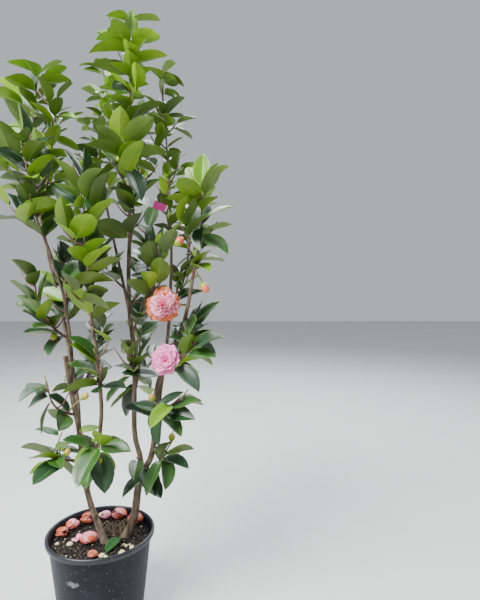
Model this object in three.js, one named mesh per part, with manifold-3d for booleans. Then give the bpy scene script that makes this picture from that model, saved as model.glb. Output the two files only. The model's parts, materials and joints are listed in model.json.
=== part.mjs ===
// A camellia shrub about 1.65 m tall, two stems in a 30 cm nursery pot, in leaf, bud and flower.
// Millimetres, +Z up. The origin is the centre of the pot's flat underside, and the front is -Y.
import * as THREE from "three";
import { mergeVertices } from "three/addons/utils/BufferGeometryUtils.js";
import Module from "manifold-3d";

const wasm = await Module();
wasm.setup();

// Driving dimensions
const GAP = 0.3;
const POT = {
  height: 228, rimRadius: 146, beadHeight: 14, bodyTop: 137, foot: 113,
  wall: 3, floor: 4, edge: 3, lip: 1, sides: 36,
};
const DRAIN = { count: 4, radius: 11, height: 17, sides: 8, depth: 24, turn: 0.25 };
const SOIL = { level: 206, edgeDrop: 5, flatRadius: 96 };
const ROOT_FLARE = 22;
const CUTTER = { width: 200, depth: 40 };
const LIMB = { sides: 6, steps: 2 };
const STEM = { sides: 3, steps: 5, foot: 4, bare: 30, barest: 0.5, open: 0.7 };
const TENSION = 0.5;
const STEEP = 0.6;
const CLEAR = 3;
const SHARE = 0.35;
const NEAR_END = 0.9999;
const LOWEST_LEAF = 262;
const GOLDEN_ANGLE = THREE.MathUtils.degToRad(137.5);
const LEAF = {
  length: 111, shortest: 0.8, longer: 0.32, slender: 0.5, slimmest: 0.88, broader: 0.24,
  droop: 0.1, sunk: 1, ridge: 0.3, fold: 1, thickness: 2.4, spacing: 11,
};
const TURN = { sway: 1.1, roll: 1.4, gather: 0.1, top: 1.2 };
const RISE = { lowest: 450, low: -0.45, middle: 1000, steep: 0.5, highest: 1500, high: 0.15 };
const TWIG = {
  sides: 3, foot: 2.7, tip: 1.6, shortest: 0.75, longer: 0.5, rise: 0.35, steeper: 0.3, upturn: 0.35,
  leafGap: 30, firstLeaf: 0.4, leafRun: 0.56, spread: 1.1, tipSpread: 0.55, lowest: 0.4, topmost: 3,
};
const BUD = { radius: 9, length: 24, sides: 3, lower: 0.3, upper: 0.68, shoulder: 0.85, lift: 8, sunk: 0.3 };
const BLOOM = { sides: 16, lobes: 8, scallop: 0.06, depth: 0.8, back: 0.6, sunk: 0.4 };
const DROPPED = { sides: 10, lobes: 5, scallop: 0.07 };
const LABEL = {
  place: [80, 30, 1156], tail: [187, 15, 1112], width: 20, thickness: 1, length: 116,
  loop: 11, slope: 22, swing: 8, bends: 10,
};
const UP = new THREE.Vector3(0, 0, 1);

// Each limb: its course from foot to tip, the radius at both ends, and the limbs whose surface its foot meets
const LIMBS = [
  {
    name: "left_stem",
    course: [
      [20, -26, 198], [-6, -15, 261], [-24, -16, 315], [-40, -20, 400], [-49, -20, 509],
      [-66, -20, 600], [-83, -20, 716],
    ],
    radii: [8.8, 6.3],
    flare: 4,
    from: [],
  },
  {
    name: "right_stem",
    course: [[63, 7, 198], [84, 10, 242], [95, 10, 287], [101, 10, 335], [112, 10, 386]],
    radii: [11, 10],
    flare: 5,
    from: [],
  },
  {
    name: "right_bough",
    course: [
      [112, 10, 386], [137, 7, 425], [149, 0, 480], [152, -5, 566], [166, -10, 650],
      [210, -10, 750], [238, -10, 820], [258, -10, 921],
    ],
    radii: [8.5, 4.6],
    from: ["right_stem"],
  },
  {
    name: "leader",
    course: [
      [110, 10, 376], [108, 15, 425], [91, 20, 503], [91, 30, 700], [79, 30, 830],
      [77, 30, 940], [82, 30, 1065], [80, 30, 1180], [80, 30, 1275],
    ],
    radii: [7.8, 4],
    from: ["right_stem", "right_bough"],
  },
  {
    name: "middle_bough",
    course: [
      [-31, -20, 349], [-14, -30, 410], [10, -45, 490], [22, -55, 589], [13, -60, 708],
      [3, -62, 800],
    ],
    radii: [6, 4.4],
    from: ["left_stem"],
  },
  {
    name: "left_bough",
    course: [[-71, -20, 636], [-64, -27, 700], [-66, -33, 770], [-78, -42, 880], [-106, -62, 998]],
    radii: [5, 3.6],
    from: ["left_stem"],
  },
  {
    name: "rear_left_bough",
    course: [[-50, -20, 512], [-66, 18, 590], [-104, 48, 760], [-146, 60, 940], [-178, 62, 1100]],
    radii: [6, 3.8],
    from: ["left_stem"],
  },
  {
    name: "rear_right_bough",
    course: [[150, -1, 500], [162, 38, 610], [182, 72, 800], [188, 88, 1000]],
    radii: [6, 3.8],
    from: ["right_bough"],
  },
  {
    name: "rear_middle_bough",
    course: [[87, 30, 742], [66, 76, 830], [22, 132, 980], [-16, 162, 1130]],
    radii: [5, 3.6],
    from: ["leader"],
  },
];

// Each mass of foliage: the course of its stem from the limb it grows on, the reach of its own space, and
// the size of its leaves where they are smaller than on the strongest shoots
const MASSES = [
  { name: "leader_top", on: "leader",
    course: [[80, 30, 1275], [84, 26, 1360], [90, 20, 1440], [87, 18, 1512], [88, 18, 1562]],
    reach: 130, leaves: 16, twigs: 1, twigLength: 60, seed: 12, leafSize: 0.9 },
  { name: "left_top", on: "rear_left_bough",
    course: [[-178, 62, 1100], [-190, 62, 1230], [-192, 60, 1340], [-182, 60, 1442]],
    reach: 125, leaves: 11, twigs: 2, twigLength: 70, seed: 21, leafSize: 0.85 },
  { name: "right_top", on: "rear_right_bough",
    course: [[188, 88, 1000], [182, 100, 1150], [174, 104, 1305], [162, 104, 1452]],
    reach: 120, leaves: 13, twigs: 2, twigLength: 75, seed: 33, leafSize: 0.64 },
  { name: "rear_top", on: "rear_middle_bough",
    course: [[-16, 162, 1130], [-40, 178, 1260], [-42, 182, 1390], [-8, 180, 1530]],
    reach: 125, leaves: 13, twigs: 2, twigLength: 75, seed: 41, leafSize: 0.64 },
  { name: "left_upper", on: "left_bough",
    course: [[-106, -62, 998], [-130, -78, 1080], [-143, -84, 1170], [-162, -84, 1258]],
    reach: 122, leaves: 10, twigs: 2, twigLength: 75, seed: 52 },
  { name: "middle_upper", on: "middle_bough",
    course: [[3, -62, 800], [2, -92, 920], [2, -112, 1040], [4, -114, 1165]],
    reach: 112, leaves: 10, twigs: 2, twigLength: 65, seed: 63 },
  { name: "front_upper", on: "leader",
    course: [[81, 30, 1020], [101, -8, 1085], [98, -46, 1185], [88, -62, 1265]],
    reach: 100, leaves: 8, twigs: 1, twigLength: 50, seed: 73 },
  { name: "right_upper", on: "right_bough",
    course: [[258, -10, 921], [274, -26, 1000], [284, -34, 1085], [287, -36, 1165]],
    reach: 104, leaves: 10, twigs: 1, twigLength: 60, seed: 84 },
  { name: "rear_right_upper", on: "rear_right_bough",
    course: [[184, 77, 815], [214, 140, 910], [232, 178, 1040], [234, 188, 1190]],
    reach: 112, leaves: 11, twigs: 2, twigLength: 75, seed: 95, leafSize: 0.72 },
  { name: "rear_left_upper", on: "rear_left_bough",
    course: [[-108, 50, 778], [-106, 116, 890], [-110, 158, 1040], [-116, 166, 1200]],
    reach: 112, leaves: 11, twigs: 2, twigLength: 75, seed: 101, leafSize: 0.8 },
  { name: "centre_upper", on: "leader",
    course: [[80, 30, 1092], [94, 96, 1190], [92, 138, 1300], [88, 146, 1400]],
    reach: 100, leaves: 12, twigs: 1, twigLength: 60, seed: 112, leafSize: 0.64 },
  { name: "bloom_shoot", on: "leader",
    course: [[84, 30, 768], [116, -4, 829], [152, -34, 893], [180, -48, 955], [190, -52, 1010]],
    reach: 88, leaves: 9, twigs: 1, twigLength: 55, seed: 121 },
  { name: "right_middle", on: "right_bough",
    course: [[168, -10, 655], [206, -54, 690], [246, -66, 728], [278, -64, 764]],
    reach: 90, leaves: 8, twigs: 2, twigLength: 50, seed: 137 },
  { name: "left_middle", on: "left_bough",
    course: [[-66, -33, 760], [-96, -72, 800], [-124, -86, 856], [-134, -88, 920]],
    reach: 90, leaves: 8, twigs: 1, twigLength: 55, seed: 143 },
  { name: "rear_centre", on: "leader",
    course: [[79, 30, 850], [104, 96, 900], [112, 146, 980], [110, 164, 1080]],
    reach: 104, leaves: 9, twigs: 1, twigLength: 70, seed: 162 },
  { name: "low_left", on: "left_stem",
    course: [[-44, -20, 432], [-76, -44, 440], [-104, -54, 448], [-130, -58, 462]],
    reach: 90, leaves: 8, twigs: 0, twigLength: 40, seed: 171 },
  { name: "left_low_middle", on: "left_stem",
    course: [[-58, -20, 556], [-84, -52, 574], [-104, -66, 604], [-114, -70, 650]],
    reach: 90, leaves: 9, twigs: 0, twigLength: 45, seed: 185 },
  { name: "low_middle", on: "middle_bough",
    course: [[4, -41, 470], [16, -76, 478], [26, -100, 490], [32, -116, 506]],
    reach: 95, leaves: 9, twigs: 0, twigLength: 40, seed: 192 },
  { name: "centre_middle", on: "middle_bough",
    course: [[19, -57, 640], [34, -96, 654], [38, -122, 690], [30, -132, 740]],
    reach: 84, leaves: 8, twigs: 0, twigLength: 45, seed: 151 },
  { name: "low_right", on: "right_bough",
    course: [[151, -3, 536], [172, -42, 562], [200, -60, 586], [226, -64, 612]],
    reach: 88, leaves: 9, twigs: 0, twigLength: 45, seed: 201 },
  { name: "low_right_twig", on: "right_stem",
    course: [[107, 8, 358], [138, -14, 388], [169, -20, 430], [196, -18, 474]],
    reach: 80, leaves: 6, twigs: 0, twigLength: 35, seed: 213 },
  { name: "rear_low", on: "leader", course: [[91, 25, 602], [88, 86, 640], [84, 132, 700], [82, 146, 780]],
    reach: 104, leaves: 8, twigs: 1, twigLength: 60, seed: 222 },
  { name: "rear_left_low", on: "left_stem",
    course: [[-67, -20, 606], [-50, 44, 640], [-36, 100, 700], [-32, 120, 780]],
    reach: 100, leaves: 7, twigs: 1, twigLength: 60, seed: 231 },
  { name: "rear_right_low", on: "rear_right_bough",
    course: [[167, 46, 650], [206, 98, 690], [234, 126, 750], [244, 132, 820]],
    reach: 100, leaves: 7, twigs: 1, twigLength: 60, seed: 244 },
  { name: "centre_low", on: "leader",
    course: [[91, 29, 655], [98, -20, 672], [108, -62, 694], [114, -84, 730]],
    reach: 84, leaves: 9, twigs: 0, twigLength: 40, seed: 252 },
  { name: "left_inner_top", on: "rear_left_bough",
    course: [[-166, 61, 1040], [-150, 36, 1150], [-124, 18, 1280], [-109, 10, 1402]],
    reach: 95, leaves: 10, twigs: 2, twigLength: 60, seed: 265, leafSize: 0.75 },
  { name: "left_inner", on: "left_bough",
    course: [[-68, -34, 790], [-84, -2, 840], [-94, 16, 905], [-98, 24, 980]],
    reach: 84, leaves: 9, twigs: 1, twigLength: 50, seed: 271 },
  { name: "rear_inner", on: "rear_middle_bough",
    course: [[46, 102, 895], [10, 92, 935], [-14, 84, 990], [-22, 82, 1060]],
    reach: 90, leaves: 9, twigs: 1, twigLength: 55, seed: 288, leafSize: 0.8 },
];

// Open flowers: the mass that carries each, where its twig leaves the stem, its centre and the way it faces
const BLOOMS = [
  { on: "right_middle", at: 0.3, centre: [198, -72, 712], radius: 40, facing: [-0.1, -1, 0.2] },
  { on: "bloom_shoot", at: 0.5, centre: [192, -72, 854], radius: 47, facing: [-0.05, -1, 0.1] },
];

// Flower buds that show: the mass and the place of each bud
const BUDS = [
  { on: "front_upper", at: 0.93, centre: [72, -36, 1232] },
  { on: "bloom_shoot", at: 0.96, centre: [178, -42, 1032] },
  { on: "bloom_shoot", at: 0.9, centre: [226, -42, 1020] },
  { on: "right_upper", at: 0.12, centre: [292, -30, 900] },
  { on: "low_middle", at: 0.95, centre: [34, -116, 462] },
  { on: "low_left", at: 0.4, centre: [-68, -62, 470] },
  { on: "left_low_middle", at: 0.2, centre: [-20, -58, 616] },
  { on: "low_right", at: 0.15, centre: [150, -34, 606] },
  { on: "low_right_twig", at: 1, centre: [200, -12, 492] },
  { on: "left_middle", at: 0.3, centre: [-94, -70, 772] },
];

// Flowers that have dropped on the soil: place of the centre, radius and height
const FALLEN = [
  { x: -112, y: 10, radius: 17, height: 22 },
  { x: -96, y: 48, radius: 18, height: 24 },
  { x: -62, y: 86, radius: 22, height: 26 },
  { x: -27, y: -24, radius: 23, height: 24 },
  { x: -64, y: -10, radius: 13, height: 9 },
  { x: 5, y: -92, radius: 13, height: 13 },
  { x: 24, y: 106, radius: 20, height: 26 },
  { x: 78, y: 76, radius: 21, height: 28 },
  { x: -17, y: 108, radius: 15, height: 20 },
];

// The green leaf that has dropped on the soil: from its root to its tip, and its width
const FALLEN_LEAF = { root: [56, -13, 209.5], tip: [35, -77, 213.5], width: 32 };

const MATERIALS = {
  pot: { color: 0x2c3035, roughness: 0.62 },
  soil: { color: 0x2b2019, roughness: 0.95 },
  bark: { color: 0x7a6a55, roughness: 0.85 },
  foliage: { color: 0x3f7032, roughness: 0.35 },
  label: { color: 0xf2f0ee, roughness: 0.45 },
  petal: { color: 0xe58f86, roughness: 0.6 },
};

// Random numbers from a seed, the same on every run
function seeded(seed) {
  let state = seed >>> 0;
  return () => {
    state = (state + 0x6d2b79f5) >>> 0;
    let mixed = Math.imul(state ^ (state >>> 15), 1 | state);
    mixed = (mixed + Math.imul(mixed ^ (mixed >>> 7), 61 | mixed)) ^ mixed;
    return ((mixed ^ (mixed >>> 14)) >>> 0) / 2 ** 32;
  };
}

// Solids from geometry, and geometry from solids
function signedVolume(position, index) {
  const corner = [new THREE.Vector3(), new THREE.Vector3(), new THREE.Vector3()];
  let volume = 0;
  for (let i = 0; i < index.length; i += 3) {
    corner.forEach((v, k) => v.fromArray(position, index[i + k] * 3));
    volume += corner[0].dot(corner[1].clone().cross(corner[2])) / 6;
  }
  return volume;
}

function solidOf(geometry) {
  geometry.deleteAttribute("normal");
  geometry.deleteAttribute("uv");
  const merged = mergeVertices(geometry);
  const position = merged.attributes.position.array;
  const index = [];
  const source = merged.index.array;
  for (let i = 0; i < source.length; i += 3) {
    const [a, b, c] = [source[i], source[i + 1], source[i + 2]];
    if (a !== b && b !== c && c !== a) index.push(a, b, c);
  }
  if (signedVolume(position, index) < 0) index.reverse();
  const vertProperties = new Float32Array(position);
  return new wasm.Manifold(new wasm.Mesh({ numProp: 3, vertProperties, triVerts: new Uint32Array(index) }));
}

function meshOf(solid, name, look) {
  const pieces = solid.decompose().sort((a, b) => b.volume() - a.volume());
  const { vertProperties, triVerts } = pieces[0].getMesh();
  const geometry = new THREE.BufferGeometry();
  geometry.setAttribute("position", new THREE.BufferAttribute(vertProperties, 3));
  geometry.setIndex(new THREE.BufferAttribute(triVerts, 1));
  geometry.computeVertexNormals();
  const mesh = new THREE.Mesh(geometry, new THREE.MeshStandardMaterial({ ...MATERIALS[look], metalness: 0 }));
  mesh.name = name;
  return mesh;
}

// A closed skin over rings of points; a ring of one point is a tip, and an end ring of more is capped flat
function loft(rings) {
  const points = rings.flat();
  const index = [];
  let start = 0;
  const cap = (first, count) => {
    for (let i = 1; i < count - 1; i += 1) index.push(first, first + i + 1, first + i);
  };
  cap(0, rings[0].length);
  rings.slice(1).forEach((ring, k) => {
    const below = rings[k].length;
    const above = ring.length;
    const next = start + below;
    const count = Math.max(below, above);
    for (let i = 0; i < count; i += 1) {
      const j = (i + 1) % count;
      if (below > 1) index.push(start + i, start + j, next + (above > 1 ? j : 0));
      if (above > 1) index.push(start + (below > 1 ? i : 0), next + j, next + i);
    }
    start = next;
  });
  const top = [];
  const last = rings.at(-1).length;
  for (let i = 1; i < last - 1; i += 1) top.push(start, start + i, start + i + 1);
  const geometry = new THREE.BufferGeometry().setFromPoints(points);
  geometry.setIndex([...index, ...top]);
  return solidOf(geometry);
}

// Two directions square to an axis, from one fixed reference
function squareTo(axis, reference) {
  const first = reference.clone().addScaledVector(axis, -reference.dot(axis)).normalize();
  return [first, axis.clone().cross(first)];
}

function referenceFor(from, to) {
  const chord = to.clone().sub(from).normalize();
  return Math.abs(chord.z) > STEEP ? new THREE.Vector3(1, 0, 0) : new THREE.Vector3(0, 0, 1);
}

function ringAt(centre, axis, reference, radius, sides, lobes = 0, depth = 0) {
  const [first, second] = squareTo(axis, reference);
  return Array.from({ length: sides }, (_, i) => {
    const angle = (i / sides) * 2 * Math.PI;
    const reach = radius * (1 + depth * Math.cos(lobes * angle));
    return centre.clone()
      .addScaledVector(first, reach * Math.cos(angle))
      .addScaledVector(second, reach * Math.sin(angle));
  });
}

// A course in straight stretches, and the place at a share of the way along it
function pathOf(course, steps) {
  const points = course.map((p) => new THREE.Vector3(...p));
  const curve = new THREE.CatmullRomCurve3(points, false, "catmullrom", TENSION);
  return Array.from({ length: steps + 1 }, (_, i) => curve.getPoint(i / steps));
}

function along(path, t) {
  const place = Math.min(t, NEAR_END) * (path.length - 1);
  const k = Math.floor(place);
  return path[k].clone().lerp(path[k + 1], place - k);
}

// A tapering round limb along a path; extra thickens it all round, ends too
function limbSolid(path, radiusAt, sides, extra = 0) {
  const last = path.length - 1;
  const reference = referenceFor(path[0], path[last]);
  const rings = path.map((point, i) => {
    const axis = path[Math.min(i + 1, last)].clone().sub(path[Math.max(i - 1, 0)]).normalize();
    const push = (i === last ? extra : 0) - (i === 0 ? extra : 0);
    const centre = point.clone().addScaledVector(axis, push);
    return ringAt(centre, axis, reference, radiusAt(i / last) + extra, sides);
  });
  return loft(rings);
}

// Pot and soil
function latheSolid(profile) {
  const geometry = new THREE.LatheGeometry(profile.map(([r, z]) => new THREE.Vector2(r, z)), POT.sides);
  geometry.rotateX(Math.PI / 2);
  return solidOf(geometry);
}

const beadFoot = POT.height - POT.beadHeight;
const innerFoot = POT.foot - POT.wall;
const innerTop = POT.bodyTop - POT.wall;
const innerRadius = (z) => innerFoot + ((innerTop - innerFoot) * (z - POT.floor)) / (beadFoot - POT.floor);

function potSolid() {
  const { edge } = POT;
  let pot = latheSolid([
    [0, 0],
    [POT.foot - edge, 0],
    [POT.foot, edge],
    [POT.bodyTop, beadFoot],
    [POT.rimRadius - edge, beadFoot],
    [POT.rimRadius, beadFoot + edge],
    [POT.rimRadius, POT.height - edge],
    [POT.rimRadius - edge, POT.height],
    [POT.bodyTop + POT.lip, POT.height],
    [innerTop, beadFoot],
    [innerFoot, POT.floor],
    [0, POT.floor],
  ]);
  for (let i = 0; i < DRAIN.count; i += 1) {
    const hole = new THREE.CylinderGeometry(DRAIN.radius, DRAIN.radius, DRAIN.depth, DRAIN.sides);
    hole.rotateZ(Math.PI / 2);
    hole.translate(POT.foot, 0, 0);
    hole.rotateZ(((i + DRAIN.turn) / DRAIN.count) * 2 * Math.PI);
    hole.translate(0, 0, DRAIN.height);
    pot = pot.subtract(solidOf(hole));
  }
  return pot;
}

function soilSolid() {
  const bottom = POT.floor + GAP;
  const edge = SOIL.level - SOIL.edgeDrop;
  return latheSolid([
    [0, bottom],
    [innerRadius(bottom) - GAP, bottom],
    [innerRadius(edge) - GAP, edge],
    [SOIL.flatRadius, SOIL.level],
    [0, SOIL.level],
  ]);
}

// Stems and boughs: the two stems are cut flat just above the soil, and later limbs are cut to their parents' skin
const limbs = new Map();
LIMBS.forEach((limb) => {
  const path = pathOf(limb.course, (limb.course.length - 1) * LIMB.steps);
  const length = path.at(-1).z - path[0].z;
  const [foot, tip] = limb.radii;
  const radiusAt = (t) => foot + (tip - foot) * t + (limb.flare ?? 0) * Math.exp((-t * length) / ROOT_FLARE);
  limbs.set(limb.name, { ...limb, path, radiusAt });
});

function inflated(name) {
  const limb = limbs.get(name);
  return limbSolid(limb.path, limb.radiusAt, LIMB.sides, GAP);
}

function limbPiece(limb) {
  let solid = limbSolid(limb.path, limb.radiusAt, LIMB.sides);
  limb.from.forEach((parent) => {
    solid = solid.subtract(inflated(parent));
  });
  if (limb.from.length === 0) {
    const [x, y] = limb.course[0];
    const below = new THREE.BoxGeometry(CUTTER.width, CUTTER.width, CUTTER.depth);
    below.translate(x, y, SOIL.level + GAP - CUTTER.depth / 2);
    solid = solid.subtract(solidOf(below));
  }
  return meshOf(solid, limb.name, "bark");
}

// The space of each mass: nearer to its own stem than to any other, and clear of limbs, label and flowers
const stems = MASSES.map((mass) => ({ ...mass, path: pathOf(mass.course, STEM.steps) }));

const labelEnds = [new THREE.Vector3(...LABEL.place), new THREE.Vector3(...LABEL.tail)];
const obstacles = [
  ...[...limbs.values()].map((limb) => ({ path: limb.path, radius: limb.radii[0] })),
  { path: labelEnds, radius: LABEL.width / 2 },
  ...BLOOMS.map((bloom) => ({ path: [new THREE.Vector3(...bloom.centre)], radius: bloom.radius })),
];

function distanceTo(point, path) {
  if (path.length === 1) return point.distanceTo(path[0]);
  const closest = new THREE.Vector3();
  const line = new THREE.Line3();
  return Math.min(...path.slice(1).map((end, i) => {
    line.set(path[i], end);
    return line.closestPointToPoint(point, true, closest).distanceTo(point);
  }));
}

function fits(points, owner) {
  return points.every((point) => {
    const own = distanceTo(point, stems[owner].path);
    if (own > stems[owner].reach || point.z < LOWEST_LEAF) return false;
    if (obstacles.some((thing) => distanceTo(point, thing.path) < thing.radius + CLEAR)) return false;
    return stems.every((stem, i) => {
      const lead = SHARE * (stem.reach - stems[owner].reach);
      return i === owner || distanceTo(point, stem.path) - lead > own + 2 * CLEAR;
    });
  });
}

// Leaves: an outline from root to tip, ridged above and below near the root, where it is thickest
const LEAF_OUTLINE = [{ s: 0.34, breadth: 0.92 }, { s: 0.68, breadth: 0.84 }];
const PROBE = {
  rib: [0.16, 0.86, 1],
  rows: [...LEAF_OUTLINE, { s: 0.51, breadth: 0.88 }],
  across: [-0.5, -0.25, 0, 0.25, 0.5],
};

function leafPoint(leaf, s, aside, rise = 0) {
  return leaf.root.clone()
    .addScaledVector(leaf.ahead, s * leaf.length)
    .addScaledVector(leaf.side, aside)
    .addScaledVector(leaf.face, rise - LEAF.droop * s * s * leaf.length);
}

function leafSolid(leaf) {
  const reach = (hand) => (hand * leaf.width) / 2;
  const edge = (hand) => LEAF_OUTLINE.map(({ s, breadth }) => leafPoint(leaf, s, reach(hand) * breadth));
  const root = leafPoint(leaf, -LEAF.sunk / leaf.length, 0);
  const outline = [root, ...edge(1), leafPoint(leaf, 1, 0), ...edge(-1).reverse()];
  const ridge = (rise) => [leafPoint(leaf, LEAF.ridge, 0, rise - LEAF.fold)];
  return loft([ridge(-LEAF.thickness), outline, ridge(0)]);
}

function leafProbe(leaf) {
  const probe = PROBE.rib.map((s) => leafPoint(leaf, s, 0));
  PROBE.rows.forEach(({ s, breadth }) => {
    PROBE.across.forEach((aside) => probe.push(leafPoint(leaf, s, leaf.width * breadth * aside)));
  });
  return probe;
}

// The direction at a bearing round the vertical and a rise above the level
function heading(bearing, rise) {
  const level = Math.cos(rise);
  return new THREE.Vector3(level * Math.cos(bearing), level * Math.sin(bearing), Math.sin(rise));
}

function leafAt(root, bearing, rise, roll, length, width) {
  const ahead = heading(bearing, rise);
  const across = heading(bearing + Math.PI / 2, 0);
  const upper = ahead.clone().cross(across);
  const side = across.clone().multiplyScalar(Math.cos(roll)).addScaledVector(upper, Math.sin(roll));
  return { root, ahead, side, face: ahead.clone().cross(side), length, width };
}

// How a leaf rises by its height: hanging low down, steep half way up and nearly level at the top
function riseAt(z) {
  const share = (from, to) => THREE.MathUtils.clamp((z - from) / (to - from), 0, 1);
  const lifted = THREE.MathUtils.lerp(RISE.low, RISE.steep, share(RISE.lowest, RISE.middle));
  return THREE.MathUtils.lerp(lifted, RISE.high, share(RISE.middle, RISE.highest));
}

// Turns tried in order for a leaf or twig that doesn't fit: swing about the vertical, lift, share of its length
const TRIES = [
  [0, 0, 1], [0.4, 0, 1], [-0.4, 0, 1], [0.8, 0.1, 1], [-0.8, 0.1, 1], [0, 0.35, 1], [1.5, 0, 0.95],
  [-1.5, 0, 0.95], [0.4, 0.5, 0.95], [-0.4, -0.4, 0.9], [2.3, 0.2, 0.9], [0, 0.8, 0.9], [3.1, 0.3, 0.9],
  [1.2, 0.8, 0.85],
];

function placeLeaf(grown, owner, root, bearing, rise, draw) {
  const length = LEAF.length * (stems[owner].leafSize ?? 1) * (LEAF.shortest + LEAF.longer * draw());
  const width = length * LEAF.slender * (LEAF.slimmest + LEAF.broader * draw());
  const lift = rise + TURN.sway * (draw() - 0.5);
  const roll = TURN.roll * (draw() - 0.5);
  for (const [swing, steeper, scale] of TRIES) {
    const leaf = leafAt(root, bearing + swing, lift + steeper, roll, length * scale, width * scale);
    const probe = leafProbe(leaf);
    const blade = probe.slice(1);
    const clearOf = (other) => blade.every((point) => other.distanceTo(point) > LEAF.spacing);
    if (grown.probes.every(clearOf) && fits(probe, owner)) {
      grown.probes.push(...blade);
      grown.parts.push(leafSolid(leaf));
      return;
    }
  }
}

// A twig leaves its stem at a slant and turns up, with leaves to its left and right and two at its tip
function growTwig(grown, owner, root, bearing, draw) {
  const size = stems[owner].twigLength * (TWIG.shortest + TWIG.longer * draw());
  const rise = TWIG.rise + TWIG.steeper * draw();
  const hand = draw() < 0.5 ? -1 : 1;
  for (const [swing, steeper, scale] of TRIES) {
    const ahead = heading(bearing + swing, rise + steeper);
    const half = (size * scale) / 2;
    const middle = root.clone().addScaledVector(ahead, half);
    const tip = middle.clone().addScaledVector(ahead, half).addScaledVector(UP, size * TWIG.upturn);
    if (fits([middle, tip], owner)) {
      const path = [root, middle, tip];
      const count = 2 + Math.round(size / TWIG.leafGap);
      grown.parts.push(limbSolid(path, (t) => TWIG.foot + (TWIG.tip - TWIG.foot) * t, TWIG.sides));
      for (let i = 0; i < count; i += 1) {
        const place = along(path, TWIG.firstLeaf + (TWIG.leafRun * i) / (count - 1));
        const spread = (i < count - 2 ? TWIG.spread : TWIG.tipSpread) * (i % 2 === 0 ? hand : -hand);
        placeLeaf(grown, owner, place, bearing + swing + spread, riseAt(place.z), draw);
      }
      return;
    }
  }
}

function budSolid(centre, axis) {
  const reference = referenceFor(centre, centre.clone().add(axis));
  const at = (s) => centre.clone().addScaledVector(axis, (s - 0.5) * BUD.length);
  return loft([
    [at(0)],
    ringAt(at(BUD.lower), axis, reference, BUD.radius, BUD.sides),
    ringAt(at(BUD.upper), axis, reference, BUD.radius * BUD.shoulder, BUD.sides),
    [at(1)],
  ]);
}

// An open flower: a domed rosette whose edge is scalloped by its petals
function bloomSolid(centre, axis, radius, depth) {
  const { sides, lobes, scallop, back } = BLOOM;
  const reference = referenceFor(centre, centre.clone().add(axis));
  const at = (rise) => centre.clone().addScaledVector(axis, rise * depth);
  const ring = ([rise, share]) => ringAt(at(rise), axis, reference, radius * share, sides, lobes, scallop);
  const dome = [[-0.3, 0.7], [0, 1], [0.3, 0.72], [0.42, 0.3]];
  return loft([[at(-back)], ...dome.map(ring)]);
}

function foliage(stem, owner) {
  const draw = seeded(stem.seed);
  const limb = limbs.get(stem.on);
  const footRadius = Math.min(STEM.foot, limb.radii[1]);
  const radiusAt = (t) => footRadius + (TWIG.tip - footRadius) * t;
  const grown = { probes: [], parts: [limbSolid(stem.path, radiusAt, STEM.sides)] };
  const turn = 2 * Math.PI * draw();
  const nodes = stem.leaves + stem.twigs;
  const twigShare = (nodes - TWIG.topmost) / stem.twigs;
  const twigNodes = Array.from({ length: stem.twigs }, (_, k) => Math.floor((k + TWIG.lowest) * twigShare));
  const bare = Math.min(STEM.barest, STEM.bare / stem.path[0].distanceTo(stem.path.at(-1)));
  for (let i = 0; i < nodes; i += 1) {
    const t = bare + ((1 - bare) * i) / (nodes - STEM.open);
    const root = along(stem.path, t);
    const bearing = turn + i * GOLDEN_ANGLE;
    const rise = i === nodes - 1 ? TURN.top : riseAt(root.z) + TURN.gather * t ** 3;
    if (twigNodes.includes(i)) growTwig(grown, owner, root, bearing, draw);
    else placeLeaf(grown, owner, root, bearing, rise, draw);
  }
  return grown.parts;
}

// What a mass carries besides leaves, on short stalks from its stem
function stalked(stem, at, centre, back) {
  return limbSolid([along(stem.path, at), centre.clone().add(back)], () => TWIG.foot, TWIG.sides);
}

function massPiece(stem, owner) {
  const parts = foliage(stem, owner);
  BUDS.filter((bud) => bud.on === stem.name).forEach((bud) => {
    const centre = new THREE.Vector3(...bud.centre);
    const axis = centre.clone().sub(along(stem.path, bud.at)).addScaledVector(UP, BUD.lift).normalize();
    parts.push(stalked(stem, bud.at, centre, axis.clone().multiplyScalar(-BUD.sunk * BUD.length)));
    parts.push(budSolid(centre, axis));
  });
  BLOOMS.filter((bloom) => bloom.on === stem.name).forEach((bloom) => {
    const centre = new THREE.Vector3(...bloom.centre);
    const axis = new THREE.Vector3(...bloom.facing).normalize();
    const depth = bloom.radius * BLOOM.depth;
    parts.push(stalked(stem, bloom.at, centre, axis.clone().multiplyScalar(-BLOOM.sunk * depth)));
    parts.push(bloomSolid(centre, axis, bloom.radius, depth));
  });
  const solid = wasm.Manifold.union(parts).subtract(inflated(stem.on));
  return meshOf(solid, `foliage_${stem.name}`, "foliage");
}

// The plant label: a thin strip whose end loops round the leader, its tail hanging down to the right
function labelPiece() {
  const outline = new THREE.Shape();
  const half = LABEL.thickness / 2;
  const inner = LABEL.loop - LABEL.thickness;
  const mouth = Math.asin(half / LABEL.loop);
  outline.absarc(0, 0, LABEL.loop, mouth, 2 * Math.PI - mouth, false);
  outline.lineTo(LABEL.length, -half);
  outline.lineTo(LABEL.length, half);
  outline.lineTo(LABEL.loop * Math.cos(mouth), half);
  const opening = new THREE.Path();
  opening.absarc(0, 0, inner, 0, 2 * Math.PI, true);
  outline.holes.push(opening);
  const sweep = { depth: LABEL.width, bevelEnabled: false, curveSegments: LABEL.bends };
  const strip = new THREE.ExtrudeGeometry(outline, sweep);
  strip.translate(0, 0, -LABEL.width / 2);
  strip.rotateY(THREE.MathUtils.degToRad(LABEL.slope));
  strip.rotateZ(THREE.MathUtils.degToRad(-LABEL.swing));
  strip.translate(...LABEL.place);
  return meshOf(solidOf(strip), "plant_label", "label");
}

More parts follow.
